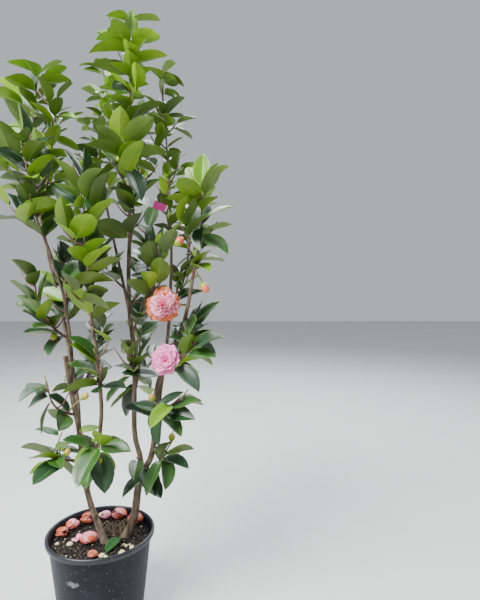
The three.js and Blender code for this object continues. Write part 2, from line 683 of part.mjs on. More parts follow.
function fallenPiece(fallen, number) {
  const { sides, lobes, scallop } = DROPPED;
  const at = (rise) => new THREE.Vector3(fallen.x, fallen.y, SOIL.level + GAP + rise * fallen.height);
  const reference = new THREE.Vector3(Math.cos(number), Math.sin(number), 0);
  const ring = ([rise, share]) => ringAt(at(rise), UP, reference, fallen.radius * share, sides, lobes, scallop);
  const mound = [[0, 0.7], [0.45, 1], [0.85, 0.62]];
  return meshOf(loft([...mound.map(ring), [at(1)]]), `fallen_bloom_${number + 1}`, "petal");
}

// The dropped leaf, its face to the sky, lying on the soil
function fallenLeafPiece() {
  const [root, tip] = [FALLEN_LEAF.root, FALLEN_LEAF.tip].map((place) => new THREE.Vector3(...place));
  const ahead = tip.clone().sub(root);
  const length = ahead.length();
  ahead.normalize();
  const side = UP.clone().cross(ahead).normalize();
  const leaf = { root, ahead, side, face: ahead.clone().cross(side), length, width: FALLEN_LEAF.width };
  return meshOf(leafSolid(leaf), "fallen_leaf", "foliage");
}

const camellia = new THREE.Group();
camellia.add(meshOf(potSolid(), "pot", "pot"));
camellia.add(meshOf(soilSolid(), "soil", "soil"));
limbs.forEach((limb) => camellia.add(limbPiece(limb)));
stems.forEach((stem, owner) => camellia.add(massPiece(stem, owner)));
camellia.add(labelPiece());
FALLEN.forEach((fallen, number) => camellia.add(fallenPiece(fallen, number)));
camellia.add(fallenLeafPiece());

export default camellia;
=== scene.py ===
"""A camellia shrub in a nursery pot: two stems with their boughs, leafy shoots, buds, open and dropped
flowers, and a bare plant label. Blender works in metres and the growing rule in millimetres, with +Z up,
the pot's underside at the origin and the side with the open flowers towards -Y."""

import json
import math
from collections import namedtuple

import bpy
import numpy as np
from mathutils import Matrix, Vector

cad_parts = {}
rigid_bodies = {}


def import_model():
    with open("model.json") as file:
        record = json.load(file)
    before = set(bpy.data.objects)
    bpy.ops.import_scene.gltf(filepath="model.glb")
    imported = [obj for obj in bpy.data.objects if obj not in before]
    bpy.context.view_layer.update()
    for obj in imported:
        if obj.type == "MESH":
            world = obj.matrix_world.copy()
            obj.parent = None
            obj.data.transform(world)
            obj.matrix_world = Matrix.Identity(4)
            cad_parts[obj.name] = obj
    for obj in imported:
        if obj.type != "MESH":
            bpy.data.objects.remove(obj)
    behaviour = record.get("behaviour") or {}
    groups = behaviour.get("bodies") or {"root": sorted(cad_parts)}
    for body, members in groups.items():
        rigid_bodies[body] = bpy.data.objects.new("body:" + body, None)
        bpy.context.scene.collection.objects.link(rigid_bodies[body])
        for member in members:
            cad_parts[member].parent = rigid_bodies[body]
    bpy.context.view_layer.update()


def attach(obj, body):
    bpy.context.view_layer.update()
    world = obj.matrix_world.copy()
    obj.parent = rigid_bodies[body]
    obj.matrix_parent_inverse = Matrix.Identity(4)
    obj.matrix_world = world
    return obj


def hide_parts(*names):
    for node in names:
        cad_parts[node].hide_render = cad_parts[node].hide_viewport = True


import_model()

MM = 0.001
BODY = "root"
UP = np.array([0.0, 0.0, 1.0])
# A value too small to matter, and the last share of a path that still lies on its last stretch
HAIR, NEAR_END = 1e-9, 0.9999

# Sizes that the solids share, in millimetres
POT = dict(height=228, rim=146, bead=14, body_top=137, foot=113, wall=3, floor=4)
DRAIN = dict(count=4, radius=11, height=17, depth=24, turn=0.25)
SOIL = dict(level=206, edge_drop=5, flat_radius=96)
ROOT_FLARE = 22
LIMB_STEPS = 2
STEM = dict(steps=5, foot=4, bare=30, barest=0.5, open=0.7)
TENSION = 0.5
CLEAR = 3
SHARE = 0.35
LOWEST_LEAF = 262
GOLDEN_ANGLE = math.radians(137.5)
LEAF = dict(
    length=111, shortest=0.8, longer=0.32, slender=0.5, slimmest=0.88, broader=0.24, droop=0.1, spacing=11
)
TURN = dict(sway=1.1, roll=1.4, gather=0.1, top=1.2)
RISE = dict(lowest=450, low=-0.45, middle=1000, steep=0.5, highest=1500, high=0.15)
TWIG = dict(
    foot=2.7, tip=1.6, shortest=0.75, longer=0.5, rise=0.35, steeper=0.3, upturn=0.35, leaf_gap=30,
    first_leaf=0.4, leaf_run=0.56, spread=1.1, tip_spread=0.55, lowest=0.4, topmost=3,
)
BUD = dict(radius=9, length=24, lift=8)
LABEL = dict(place=(80, 30, 1156), tail=(187, 15, 1112), width=20, length=116, loop=11, slope=22, swing=8)

# Each limb: name, course from foot to tip, radii at foot and tip, root flare
LIMBS = [
    ("left_stem", [(20, -26, 198), (-6, -15, 261), (-24, -16, 315), (-40, -20, 400), (-49, -20, 509),
                   (-66, -20, 600), (-83, -20, 716)], (8.8, 6.3), 4),
    ("right_stem", [(63, 7, 198), (84, 10, 242), (95, 10, 287), (101, 10, 335), (112, 10, 386)], (11, 10), 5),
    ("right_bough", [(112, 10, 386), (137, 7, 425), (149, 0, 480), (152, -5, 566), (166, -10, 650),
                     (210, -10, 750), (238, -10, 820), (258, -10, 921)], (8.5, 4.6), 0),
    ("leader", [(110, 10, 376), (108, 15, 425), (91, 20, 503), (91, 30, 700), (79, 30, 830), (77, 30, 940),
                (82, 30, 1065), (80, 30, 1180), (80, 30, 1275)], (7.8, 4), 0),
    ("middle_bough", [(-31, -20, 349), (-14, -30, 410), (10, -45, 490), (22, -55, 589), (13, -60, 708),
                      (3, -62, 800)], (6, 4.4), 0),
    ("left_bough", [(-71, -20, 636), (-64, -27, 700), (-66, -33, 770), (-78, -42, 880), (-106, -62, 998)],
     (5, 3.6), 0),
    ("rear_left_bough", [(-50, -20, 512), (-66, 18, 590), (-104, 48, 760), (-146, 60, 940), (-178, 62, 1100)],
     (6, 3.8), 0),
    ("rear_right_bough", [(150, -1, 500), (162, 38, 610), (182, 72, 800), (188, 88, 1000)], (6, 3.8), 0),
    ("rear_middle_bough", [(87, 30, 742), (66, 76, 830), (22, 132, 980), (-16, 162, 1130)], (5, 3.6), 0),
]

# Each shoot: name, limb, course, reach, leaves, twigs, twig length, seed, how young its leaves are, and their
# size where they are smaller than on the strongest shoots
MASSES = [
    ("leader_top", "leader", [(80, 30, 1275), (84, 26, 1360), (90, 20, 1440), (87, 18, 1512), (88, 18, 1562)],
     130, 16, 1, 60, 12, 1.0, 0.9),
    ("left_top", "rear_left_bough", [(-178, 62, 1100), (-190, 62, 1230), (-192, 60, 1340), (-182, 60, 1442)],
     125, 11, 2, 70, 21, 0.75, 0.85),
    ("right_top", "rear_right_bough", [(188, 88, 1000), (182, 100, 1150), (174, 104, 1305), (162, 104, 1452)],
     120, 13, 2, 75, 33, 0.6, 0.64),
    ("rear_top", "rear_middle_bough", [(-16, 162, 1130), (-40, 178, 1260), (-42, 182, 1390), (-8, 180, 1530)],
     125, 13, 2, 75, 41, 0.75, 0.64),
    ("left_upper", "left_bough", [(-106, -62, 998), (-130, -78, 1080), (-143, -84, 1170), (-162, -84, 1258)],
     122, 10, 2, 75, 52, 0.35),
    ("middle_upper", "middle_bough", [(3, -62, 800), (2, -92, 920), (2, -112, 1040), (4, -114, 1165)],
     112, 10, 2, 65, 63, 0.3),
    ("front_upper", "leader", [(81, 30, 1020), (101, -8, 1085), (98, -46, 1185), (88, -62, 1265)],
     100, 8, 1, 50, 73, 0.4),
    ("right_upper", "right_bough", [(258, -10, 921), (274, -26, 1000), (284, -34, 1085), (287, -36, 1165)],
     104, 10, 1, 60, 84, 0.55),
    ("rear_right_upper", "rear_right_bough",
     [(184, 77, 815), (214, 140, 910), (232, 178, 1040), (234, 188, 1190)],
     112, 11, 2, 75, 95, 0.3, 0.72),
    ("rear_left_upper", "rear_left_bough",
     [(-108, 50, 778), (-106, 116, 890), (-110, 158, 1040), (-116, 166, 1200)],
     112, 11, 2, 75, 101, 0.3, 0.8),
    ("centre_upper", "leader", [(80, 30, 1092), (94, 96, 1190), (92, 138, 1300), (88, 146, 1400)],
     100, 12, 1, 60, 112, 0.45, 0.64),
    ("bloom_shoot", "leader",
     [(84, 30, 768), (116, -4, 829), (152, -34, 893), (180, -48, 955), (190, -52, 1010)],
     88, 9, 1, 55, 121, 0.1),
    ("right_middle", "right_bough", [(168, -10, 655), (206, -54, 690), (246, -66, 728), (278, -64, 764)],
     90, 8, 2, 50, 137, 0.35),
    ("left_middle", "left_bough", [(-66, -33, 760), (-96, -72, 800), (-124, -86, 856), (-134, -88, 920)],
     90, 8, 1, 55, 143, 0.1),
    ("rear_centre", "leader", [(79, 30, 850), (104, 96, 900), (112, 146, 980), (110, 164, 1080)],
     104, 9, 1, 70, 162, 0.15),
    ("low_left", "left_stem", [(-44, -20, 432), (-76, -44, 440), (-104, -54, 448), (-130, -58, 462)],
     90, 8, 0, 40, 171, 0.15),
    ("left_low_middle", "left_stem", [(-58, -20, 556), (-84, -52, 574), (-104, -66, 604), (-114, -70, 650)],
     90, 9, 0, 45, 185, 0.1),
    ("low_middle", "middle_bough", [(4, -41, 470), (16, -76, 478), (26, -100, 490), (32, -116, 506)],
     95, 9, 0, 40, 192, 0.7),
    ("centre_middle", "middle_bough", [(19, -57, 640), (34, -96, 654), (38, -122, 690), (30, -132, 740)],
     84, 8, 0, 45, 151, 0.3),
    ("low_right", "right_bough", [(151, -3, 536), (172, -42, 562), (200, -60, 586), (226, -64, 612)],
     88, 9, 0, 45, 201, 0.05),
    ("low_right_twig", "right_stem", [(107, 8, 358), (138, -14, 388), (169, -20, 430), (196, -18, 474)],
     80, 6, 0, 35, 213, 0.05),
    ("rear_low", "leader", [(91, 25, 602), (88, 86, 640), (84, 132, 700), (82, 146, 780)],
     104, 8, 1, 60, 222, 0.05),
    ("rear_left_low", "left_stem", [(-67, -20, 606), (-50, 44, 640), (-36, 100, 700), (-32, 120, 780)],
     100, 7, 1, 60, 231, 0.05),
    ("rear_right_low", "rear_right_bough", [(167, 46, 650), (206, 98, 690), (234, 126, 750), (244, 132, 820)],
     100, 7, 1, 60, 244, 0.1),
    ("centre_low", "leader", [(91, 29, 655), (98, -20, 672), (108, -62, 694), (114, -84, 730)],
     84, 9, 0, 40, 252, 0.1),
    ("left_inner_top", "rear_left_bough",
     [(-166, 61, 1040), (-150, 36, 1150), (-124, 18, 1280), (-109, 10, 1402)],
     95, 10, 2, 60, 265, 0.5, 0.75),
    ("left_inner", "left_bough", [(-68, -34, 790), (-84, -2, 840), (-94, 16, 905), (-98, 24, 980)],
     84, 9, 1, 50, 271, 0.15),
    ("rear_inner", "rear_middle_bough", [(46, 102, 895), (10, 92, 935), (-14, 84, 990), (-22, 82, 1060)],
     90, 9, 1, 55, 288, 0.15, 0.8),
]

# Open flowers: the shoot that each is on, and where
BLOOMS = [
    dict(name="pink_bloom", on="right_middle", at=0.3, centre=(198, -72, 712), radius=40,
         facing=(-0.1, -1, 0.2)),
    dict(name="old_bloom", on="bloom_shoot", at=0.5, centre=(192, -72, 854), radius=47,
         facing=(-0.05, -1, 0.1)),
]
# Flower buds: shoot, share of its stem, and the bud's middle; the opening ones are named by their number
BUDS = [
    ("front_upper", 0.93, (72, -36, 1232)), ("bloom_shoot", 0.96, (178, -42, 1032)),
    ("bloom_shoot", 0.9, (226, -42, 1020)), ("right_upper", 0.12, (292, -30, 900)),
    ("low_middle", 0.95, (34, -116, 462)), ("low_left", 0.4, (-68, -62, 470)),
    ("left_low_middle", 0.2, (-20, -58, 616)), ("low_right", 0.15, (150, -34, 606)),
    ("low_right_twig", 1, (200, -12, 492)), ("left_middle", 0.3, (-94, -70, 772)),
]
OPENING_BUDS = {2, 3}
# Dropped flowers: place across and back, radius, height, and the petals inside and at the edge
FALLEN = [
    (-112, 10, 17, 22, "blotched", "rusty"), (-96, 48, 18, 24, "fallen_pink", "blotched"),
    (-62, 86, 22, 26, "blotched", "rusty"), (-27, -24, 23, 24, "rusty", "blotched"),
    (-64, -10, 13, 9, "fallen_pink", "fallen_pink"), (5, -92, 13, 13, "blotched", "rusty"),
    (24, 106, 20, 26, "rusty", "blotched"), (78, 76, 21, 28, "blotched", "rusty"),
    (-17, 108, 15, 20, "fallen_pink", "fallen_pink"),
]
FALLEN_LEAF = dict(root=(56, -13, 209.5), tip=(35, -77, 213.5), width=32, form=3, dip=0.12, lift=6)

# The photo's view: camera in millimetres, how far it looks down, focal length and middle in pixels
VIEW = dict(place=(385.4, -1300.7, 924.4), pitch=math.radians(2.6), focal=480, middle=(240, 300))
# A gap left in front of the label, through which the photo shows it
LABEL_GAP = dict(line=[(152, 20, 1127), (173, -97, 1109)], radius=18)
# How far a shoot's tip runs on past the solids' stem, and by how much more of the stem that counts
SPROUT = dict(length=50, share=0.2)
# Points by which a leaf's room is tested: shares along its rib, and rows across with their breadth
PROBE = dict(
    rib=(0.16, 0.86, 1), rows=((0.34, 0.92), (0.68, 0.84), (0.51, 0.88)), across=(-0.5, -0.25, 0, 0.25, 0.5)
)

# How much broader than a plain leaf those are that the photo shows plainly
SEEN_BREADTH = 1.04
# Leaves that the photo shows plainly, by shoot: the share of the stem at the root (up to 1.2 on the sprout),
# the tip's spot in the picture, the length, 1 where the leaf runs away from the viewer or -1 towards, how far
# its face opens to the viewer (1 in full, 0 edge on, below 0 its underside), and its kind
SeenLeaf = namedtuple("SeenLeaf", "at tip_pixel length away opening kind")
SEEN_LEAVES = {
    "leader_top": [
        (1.2, (106, 17), 76, -1, -0.5, "young"), (1.2, (160, 20), 88, 1, -0.35, "young"),
        (1.05, (107, 28), 76, -1, -0.8, "young"), (1.0, (160, 38), 98, -1, -0.75, "young"),
        (0.95, (95, 41), 98, 1, -0.5, "young"), (0.84, (91, 48), 106, -1, -0.6, "young"),
        (0.72, (168, 57), 108, -1, -0.5, "young"), (0.6, (93, 61), 112, 1, -0.5, "green"),
        (0.58, (111, 64), 78, -1, -0.6, "young"), (0.5, (152, 66), 88, -1, -0.6, "young"),
        (0.45, (113, 88), 96, -1, 0.45, "old"), (0.2, (113, 104), 84, -1, -0.8, "green"),
        (0.2, (139, 103), 84, -1, -0.8, "green"),
    ],
    "left_top": [
        (1.2, (6, 63), 96, -1, -0.3, "young"), (1.2, (63, 62), 90, 1, -0.3, "young"),
        (1.1, (72, 83), 106, -1, -0.5, "young"), (1.15, (27, 62), 80, -1, -0.8, "young"),
        (1.0, (5, 76), 102, -1, -0.7, "young"), (0.84, (18, 87), 86, -1, -0.6, "green"),
        (0.93, (53, 83), 82, 1, -0.5, "green"), (0.4, (42, 139), 88, -1, -0.9, "young"),
        (0.2, (62, 164), 102, -1, -0.6, "green"),
    ],
    "right_top": [
        (1.2, (185, 86), 88, -1, -0.45, "green"), (1.15, (151, 68), 72, -1, -0.6, "young"),
        (1.2, (177, 64), 82, 1, -0.5, "young"), (0.85, (186, 98), 88, 1, -0.45, "green"),
        (0.7, (150, 113), 84, -1, -0.6, "green"),
    ],
    "rear_top": [(0.4, (72, 147), 98, -1, -0.6, "old")],
    "left_inner_top": [
        (0.87, (60, 96), 70, -1, -0.9, "old"), (0.72, (66, 127), 60, 1, 0.3, "green"),
        (1.0, (74, 84), 76, 1, -0.4, "green"), (0.6, (43, 152), 82, -1, 0.6, "green"),
    ],
    "front_upper": [
        (0.99, (154, 118), 110, -1, -0.9, "green"), (0.82, (166, 150), 112, 1, -0.5, "green"),
        (0.8, (144, 197), 106, -1, 0.7, "old"), (0.86, (84, 143), 116, -1, -0.5, "green"),
        (0.06, (93, 223), 116, -1, -0.85, "green"),
    ],
    "left_upper": [(0.75, (1, 147), 100, -1, 0.5, "old")],
    "middle_upper": [
        (0.86, (101, 166), 110, -1, -0.9, "green"), (0.82, (52, 186), 106, 1, 0.7, "old"),
        (0.62, (54, 216), 106, 1, 0.85, "old"), (0.44, (70, 248), 84, -1, -0.85, "young"),
        (0.06, (67, 280), 118, -1, -0.7, "young"), (0.04, (121, 304), 94, -1, -0.5, "green"),
        (0.97, (64, 150), 94, 1, 0.4, "old"),
    ],
    "right_upper": [
        (0.84, (177, 179), 98, -1, -0.95, "young"), (0.76, (166, 197), 100, 1, -0.3, "young"),
        (0.72, (217, 194), 84, -1, -0.5, "green"), (0.6, (199, 250), 84, -1, 0.7, "old"),
        (0.5, (228, 256), 104, -1, 0.7, "green"),
    ],
    "bloom_shoot": [(0.42, (127, 281), 92, -1, -0.75, "green"), (0.62, (147, 258), 78, 1, 0.7, "old")],
    "right_middle": [
        (0.85, (218, 337), 92, -1, 0.6, "old"), (0.65, (217, 358), 96, -1, 0.6, "green"),
        (0.4, (200, 389), 98, -1, 0.8, "old"), (0.05, (121, 373), 106, -1, 0.5, "old"),
    ],
    "left_middle": [(0.35, (33, 328), 88, -1, 0.35, "green"), (0.15, (47, 356), 84, -1, 0.6, "old")],
    "centre_middle": [
        (0.05, (127, 389), 84, -1, 0.5, "old"), (0.35, (61, 392), 102, -1, -0.4, "green"),
        (0.8, (69, 345), 92, -1, 0.5, "young"),
    ],
    "left_low_middle": [(0.1, (47, 396), 92, -1, 0.5, "old")],
    "low_right": [(0.05, (125, 406), 96, -1, 0.5, "old"), (0.45, (194, 417), 94, -1, 0.85, "old")],
    "low_middle": [
        (0.9, (132, 453), 96, -1, 0.75, "green"), (0.97, (77, 487), 116, -1, 0.75, "green"),
        (0.6, (104, 494), 118, -1, 0.95, "old"), (0.1, (71, 437), 86, 1, 0.6, "old"),
    ],
    "low_left": [(0.4, (33, 484), 106, -1, 0.75, "old"), (0.4, (29, 453), 98, -1, -0.3, "young")],
    "low_right_twig": [(0.7, (189, 470), 92, -1, 0.6, "old")],
}


# Sizes of the visible pieces' own forms; a pair with no other name is the least and how much more by chance

# Turns tried in order for a leaf or twig that doesn't fit: swing round the vertical, lift, share of size
TRIES = [
    (0, 0, 1), (0.4, 0, 1), (-0.4, 0, 1), (0.8, 0.1, 1), (-0.8, 0.1, 1), (0, 0.35, 1), (1.5, 0, 0.95),
    (-1.5, 0, 0.95), (0.4, 0.5, 0.95), (-0.4, -0.4, 0.9), (2.3, 0.2, 0.9), (0, 0.8, 0.9), (3.1, 0.3, 0.9),
    (1.2, 0.8, 0.85),
]
# The finer growth: the stem's length for each twig, the twigs' length, the leaves' size, and where they start
FINE = dict(
    seed=1000, fewest=2, gap=50, twig=46, leaf=0.82, first_twig=0.6, twig_turn=1.1, first_leaf=0.3,
    leaf_turn=2.4, last_leaf=0.98,
)
# The most that a thing is turned by chance, the name of each piece's map, and the way by which the first
# side of a tube is set
RANDOM_TURN = 6.28
PIECE_MAP = "piece_map"
FRAME_START = (0.31, 0.95, 0.05)
BLACK, WHITE = (0, 0, 0, 1), (1, 1, 1, 1)

# Colours, and the places of marks in metres
SOFT_PATCHES = 14.0
STREAKS = (26.0, 3.0, 1.0)
SCUFF = dict(place=(-0.037, -0.125, 0.152), spread=(32, 20, 75))
POT_TONES = dict(light=(0.017, 0.020, 0.028), dark=(0.010, 0.012, 0.018), mark=(0.26, 0.28, 0.31))
LEAF_GLOSS = {"Coat Weight": 0.42, "Coat Roughness": 0.3}
LEAF_TONES = {
    "old": dict(
        blade=((0.019, 0.066, 0.019), (0.008, 0.034, 0.012)),
        under=((0.085, 0.140, 0.014), (0.050, 0.095, 0.009)),
        rib=((0.12, 0.21, 0.06), (0.08, 0.15, 0.04)),
    ),
    "green": dict(
        blade=((0.036, 0.118, 0.014), (0.018, 0.070, 0.010)),
        under=((0.125, 0.215, 0.013), (0.075, 0.145, 0.009)),
        rib=((0.21, 0.33, 0.06), (0.13, 0.24, 0.04)),
    ),
    "young": dict(
        blade=((0.160, 0.330, 0.009), (0.085, 0.215, 0.007)),
        under=((0.240, 0.410, 0.010), (0.150, 0.290, 0.008)),
        rib=((0.36, 0.50, 0.07), (0.26, 0.39, 0.05)),
    ),
}
# The share of young leaves at a shoot's foot and how much more at its tip, both times its youth; the share
# of green ones
YOUTH = dict(foot=0.55, more=0.6, green=0.45)
KIND_SEED = 4242

# The unit leaf: its rows by share of its length with their breadth, its columns by share of half the breadth,
# and the strips between columns that are rib or margin
LEAF_ROWS = (
    (0.085, 0), (0.16, 0.52), (0.29, 0.87), (0.46, 1.0), (0.63, 0.95), (0.79, 0.74), (0.91, 0.41), (1.0, 0),
)
LEAF_COLUMNS = (-1, -0.965, -0.5, -0.05, 0.05, 0.5, 0.965, 1)
UNDER_COLUMNS = 4
RIB_STRIPS, UNDER_RIB_STRIP = (0, 3, 6), 1
BLADE_PART, UNDER_PART, RIB_PART = 0, 1, 2
LEAF_FORM = dict(
    forms=8, first_seed=7000, fold=(0.08, 0.24), sag=(0.05, 0.2), bow=0.06, wave=0.022, waves=9,
    other_side=1.6, puff=(0.03, 0.035), full=(0.9, 0.2), rib=0.012, rib_run=1.3, rib_columns=0.1,
    groove=0.004, under_rib=0.013,
)
# The leaf's stalk at its two ends: share of the leaf's length, half its breadth and height, how deep it lies
STALK = ((-0.012, 0.022, 0.011, 0.006), (0.13, 0.014, 0.005, 0.010))
STALK_SIDES, STALK_TOP = 4, 0.6

# Bark: ridges by depth, count round the limb and pitch; swellings at the joints, heavier on one side
BARK_FORM = dict(
    sides=16, step=5, fewest_steps=12, sunk=5, first_seed=300, phases=6,
    ridges=((0.05, 3, 90), (0.035, 5, -60)), grain=dict(depth=0.022, count=8, twist=31, length=17),
    roots=dict(depth=0.12, count=4, run=18),
    collar=dict(depth=0.22, run=14), first_joint=(20, 30), next_joint=(38, 34), swell=(0.09, 0.1),
    one_side=(0.6, 0.4), joint_length=5, joint_reach=20,
)
# Which of their piece's finishes faces take: on a limb, on the shoots and twigs, and on a bud
CUT_FACE = 1
BROWN_WOOD, GREEN_WOOD = 0, 1
BLUSH_FACE, ORANGE_FACE = 1, 2
TWIG_SIDES = 6
SHOOT_FORM = dict(
    steps=30, twig_steps=8, sides=8, near=2, green_from=0.7, swell=0.16, joints=34, joint_length=4,
    uneven=0.03, unevenness=(3, 9),
)
TIP_BUD = dict(
    places=(-0.1, 0.15, 0.45, 0.8, 1), breadths=(0.6, 1, 0.95, 0.5, 0.08), stem=dict(length=15, radius=2.4),
    twig=dict(length=11, radius=1.9),
)
BUD_STALK = dict(arch=3, steps=6, radius=2.3)
BLOOM_STALK = dict(back=0.3, sag=4, steps=8, radius=2.6)

# Flowers: the unit petals, how each open flower's grow, and the dropped flowers
PETAL_FORM = dict(
    rows=8, columns=12, thickness=0.014, root=0.26, swell=0.74, widest=0.62, end=0.42, roundness=0.96,
    notch_width=0.22, notch_power=5, scallop=0.035, scallop_power=4, scallops=(11, 0.6),
    ruffles=((1, 4.4, 1), (0.6, 9, 2)),
)
SHELL_FORM = dict(
    rows=8, columns=8, thickness=0.03, foot=0.25, wrap=2.6, round_end=0.25, root=0.45, swell=0.55, widest=0.6,
    crinkle=0.03, crinkles=(6, 5), flare_power=5,
)
BLOOM_PETALS = {
    "pink_bloom": dict(width=1.1, cup=0.30, curl=-0.14, ruffle=0.06, notch=0.12),
    "old_bloom": dict(width=0.85, cup=0.20, curl=-0.04, ruffle=0.09, notch=0.08),
}
BLOOM_GROWTH = {
    "pink_bloom": {
        "Petals": 19, "Outer Size": 0.046, "Inner Size": 0.018, "Outer Tilt": 0.15, "Inner Tilt": 1.25,
        "Height": 0.010, "Unevenness": 0.24, "Seed": 3, "Crowding": 0.9, "Outer Petals": 0.0,
    },
    "old_bloom": {
        "Petals": 58, "Outer Size": 0.051, "Inner Size": 0.021, "Outer Tilt": -0.1, "Inner Tilt": 1.1,
        "Height": 0.019, "Unevenness": 0.42, "Seed": 8, "Crowding": 0.75, "Outer Petals": 0.22,
    },
}
FALLEN_FORM = dict(
    first_seed=900, petal_seed=20, loose_below=12, lean=(0.25, 0.5),
    growth={"Unevenness": 0.25, "Height": 0.0, "Crowding": 1.0, "Outer Petals": 0.5},
    loose=dict(petal=dict(width=1.0, cup=0.2, curl=0.25, ruffle=0.05, notch=0.05), sizes=(1.5, 1.2), flat=0.8,
               lift=2, growth={"Petals": 2, "Outer Tilt": 0.05, "Inner Tilt": 0.3}),
    ball=dict(petal=dict(spread=0.95, flare=0.1), sizes=(1.05, 0.8), flat=1.05,
              growth={"Petals": 9, "Outer Tilt": 0.0, "Inner Tilt": 0.1}),
)
BUD_FORM = dict(
    rows=14, sides=16, foot=0.035, run=0.93, plump=0.55, scales=4, half_ring=2.5, overlap=0.08, petals=0.4,
    blush=0.66, opening_size=(1.3, 1.25), closed_size=(0.92, 1.05),
)

# The pot's outline: at its foot how far in and how high; under the rim how far out of the body and how high
# over the rim's foot; over the rim how far out of the body and how deep; inside the heights, and the corner's
# height and how far in
POT_FORM = dict(
    sides=128, foot=((8, 0), (3, 0.8), (0.8, 3), (0, 6)), body=(40, 80, 120, 160, 196),
    under_rim=((-0.6, -3), (0.4, -0.8), (2.5, 0)), lower_bend=3, lower_turns=(-1.5, -1.0, -0.5, 0),
    upper_bend=5, upper_turns=(0, 0.4, 0.8, 1.2, 1.57), over_rim=((3, 0.6), (0.5, 3)), lip=2,
    inside=(150, 90, 40, 10), corner=(6, 4), drain_sides=32,
)
# The soil's waves: how often over a millimetre at most, and their height
SOIL_FORM = dict(
    seed=61, rings=34, sides=110, edge=136, lower=1.5, rough=1.2, clear=0.6, waist=120,
    waves=((0.12, 1.3), (0.2, 1.0), (0.45, 0.8), (0.9, 0.7), (1.4, 0.6), (1.9, 0.45)),
)
LITTER_BED = dict(
    rings=8, sides=40, radius=126, hole=0.02, lift=0.5, smallest=0.5, least_turn=(-0.5, -0.5, 0),
    most_turn=(0.5, 0.5, 6.283),
)
# Each litter: name, finish, size in metres, flatness, how far apart, most a square metre, largest size, seed
LITTER = [
    ("bark_chips", "chip", 0.0028, 0.35, 0.0065, 9000.0, 1.8, 5),
    ("small_crumbs", "crumb", 0.0020, 0.7, 0.0036, 22000.0, 1.5, 9),
    ("pale_bits", "pale", 0.0018, 0.6, 0.010, 2400.0, 1.7, 14),
]
LUMP_FORM = dict(
    sides=6, rings=((0.55, -1), (1, -0.35), (0.95, 0.4), (0.5, 1)), skew=0.3, reach=(0.75, 0.5), flat=0.55,
    lift=0.3, first_seed=40,
)
# The cream lumps' places on the soil and their sizes
LUMPS = [
    (-73, -39, 9), (-36, 122, 9), (97, -53, 8), (77, -80, 10), (29, -93, 9), (40, -96, 6), (80, -44, 5),
    (88, -38, 4), (72, -38, 4), (-108, -36, 6),
]
# Dry roots: the middle and spread of their bed across and back
ROOTS = dict(
    seed=77, count=44, bed=((26, 62), (46, 76)), length=(14, 22), arch=(5, 16), radius=(0.6, 0.6), steps=6,
    sides=5,
)
LABEL_FORM = dict(
    steps=26, loop_steps=22, gap=0.25, bend=3.0, bend_turn=2.6, sag=1.5, half_thickness=0.4,
    pink=(0.64, 0.955), tip_from=0.985, tip_width=0.78,
)

# The studio, in metres: the floor's half width, the spot that the lamps face, and the sensor in millimetres
FLOOR_HALF = 9
LIT_SPOT = (0.0, 0.0, 0.9)
SENSOR = 36


# The growing rule: the solids' own, with the leaves that the photo shows and finer growth between them

def seeded(seed):
    """Random numbers from a seed, by the same steps as those that the solids grow by."""
    mask = 0xFFFFFFFF
    state = seed & mask

    def draw():
        nonlocal state
        state = (state + 0x6D2B79F5) & mask
        mixed = ((state ^ (state >> 15)) * (1 | state)) & mask
        mixed = ((mixed + ((mixed ^ (mixed >> 7)) * (61 | mixed) & mask)) & mask) ^ mixed
        return ((mixed ^ (mixed >> 14)) & mask) / 2**32

    return draw


def by_chance(pair, draw):
    """The least of a measure, and how much more by chance."""
    least, more = pair
    return least + more * draw()


def path_of(course, steps):
    """A smooth course through its points, in even stretches of its parameter."""
    points = [np.array(p, float) for p in course]
    points = [2 * points[0] - points[1], *points, 2 * points[-1] - points[-2]]
    spans = len(course) - 1
    path = []
    for i in range(steps + 1):
        place = min(spans * i / steps, spans - HAIR)
        k = int(place)
        u = place - k
        before, start, end, after = points[k:k + 4]
        leave, arrive = TENSION * (end - before), TENSION * (after - start)
        square = 3 * (end - start) - 2 * leave - arrive
        cube = 2 * (start - end) + leave + arrive
        path.append(start + u * leave + u * u * square + u**3 * cube)
    return np.array(path)


def along(path, t):
    """The place at a share of a path."""
    place = min(t, NEAR_END) * (len(path) - 1)
    k = int(place)
    return path[k] + (path[k + 1] - path[k]) * (place - k)


def unit(vector):
    return vector / np.linalg.norm(vector)


class Stem:
    """The stem of one shoot, and the space that its leaves and twigs keep to."""

    def __init__(self, name, on, course, reach, leaves, twigs, twig_length, seed, youth, leaf_size=1):
        self.name, self.on, self.course, self.reach = name, on, course, reach
        self.leaves, self.twigs, self.twig_length = leaves, twigs, twig_length
        self.seed, self.youth, self.leaf_size = seed, youth, leaf_size
        self.path = path_of(course, STEM["steps"])


class Limb:
    """One tapering limb, with the path that leaves and twigs keep clear of."""

    def __init__(self, name, course, radii, flare):
        self.name, self.course, self.radii, self.flare = name, course, radii, flare
        self.path = path_of(course, (len(course) - 1) * LIMB_STEPS)


class Spans:
    """Straight stretches of several paths, for the distance from points to each path."""

    def __init__(self, paths):
        doubled = [path if len(path) > 1 else np.array([path[0], path[0]]) for path in paths]
        self.starts = np.concatenate([path[:-1] for path in doubled])
        self.spans = np.concatenate([path[1:] - path[:-1] for path in doubled])
        self.squares = np.maximum((self.spans**2).sum(1), HAIR)
        counts = [len(path) - 1 for path in doubled]
        self.firsts = np.cumsum([0, *counts[:-1]])

    def distances(self, points):
        """One row a point, one column a path."""
        apart = points[:, None, :] - self.starts[None]
        share = np.clip((apart * self.spans).sum(2) / self.squares, 0, 1)
        gaps = np.linalg.norm(apart - share[..., None] * self.spans, axis=2)
        return np.minimum.reduceat(gaps, self.firsts, axis=1)


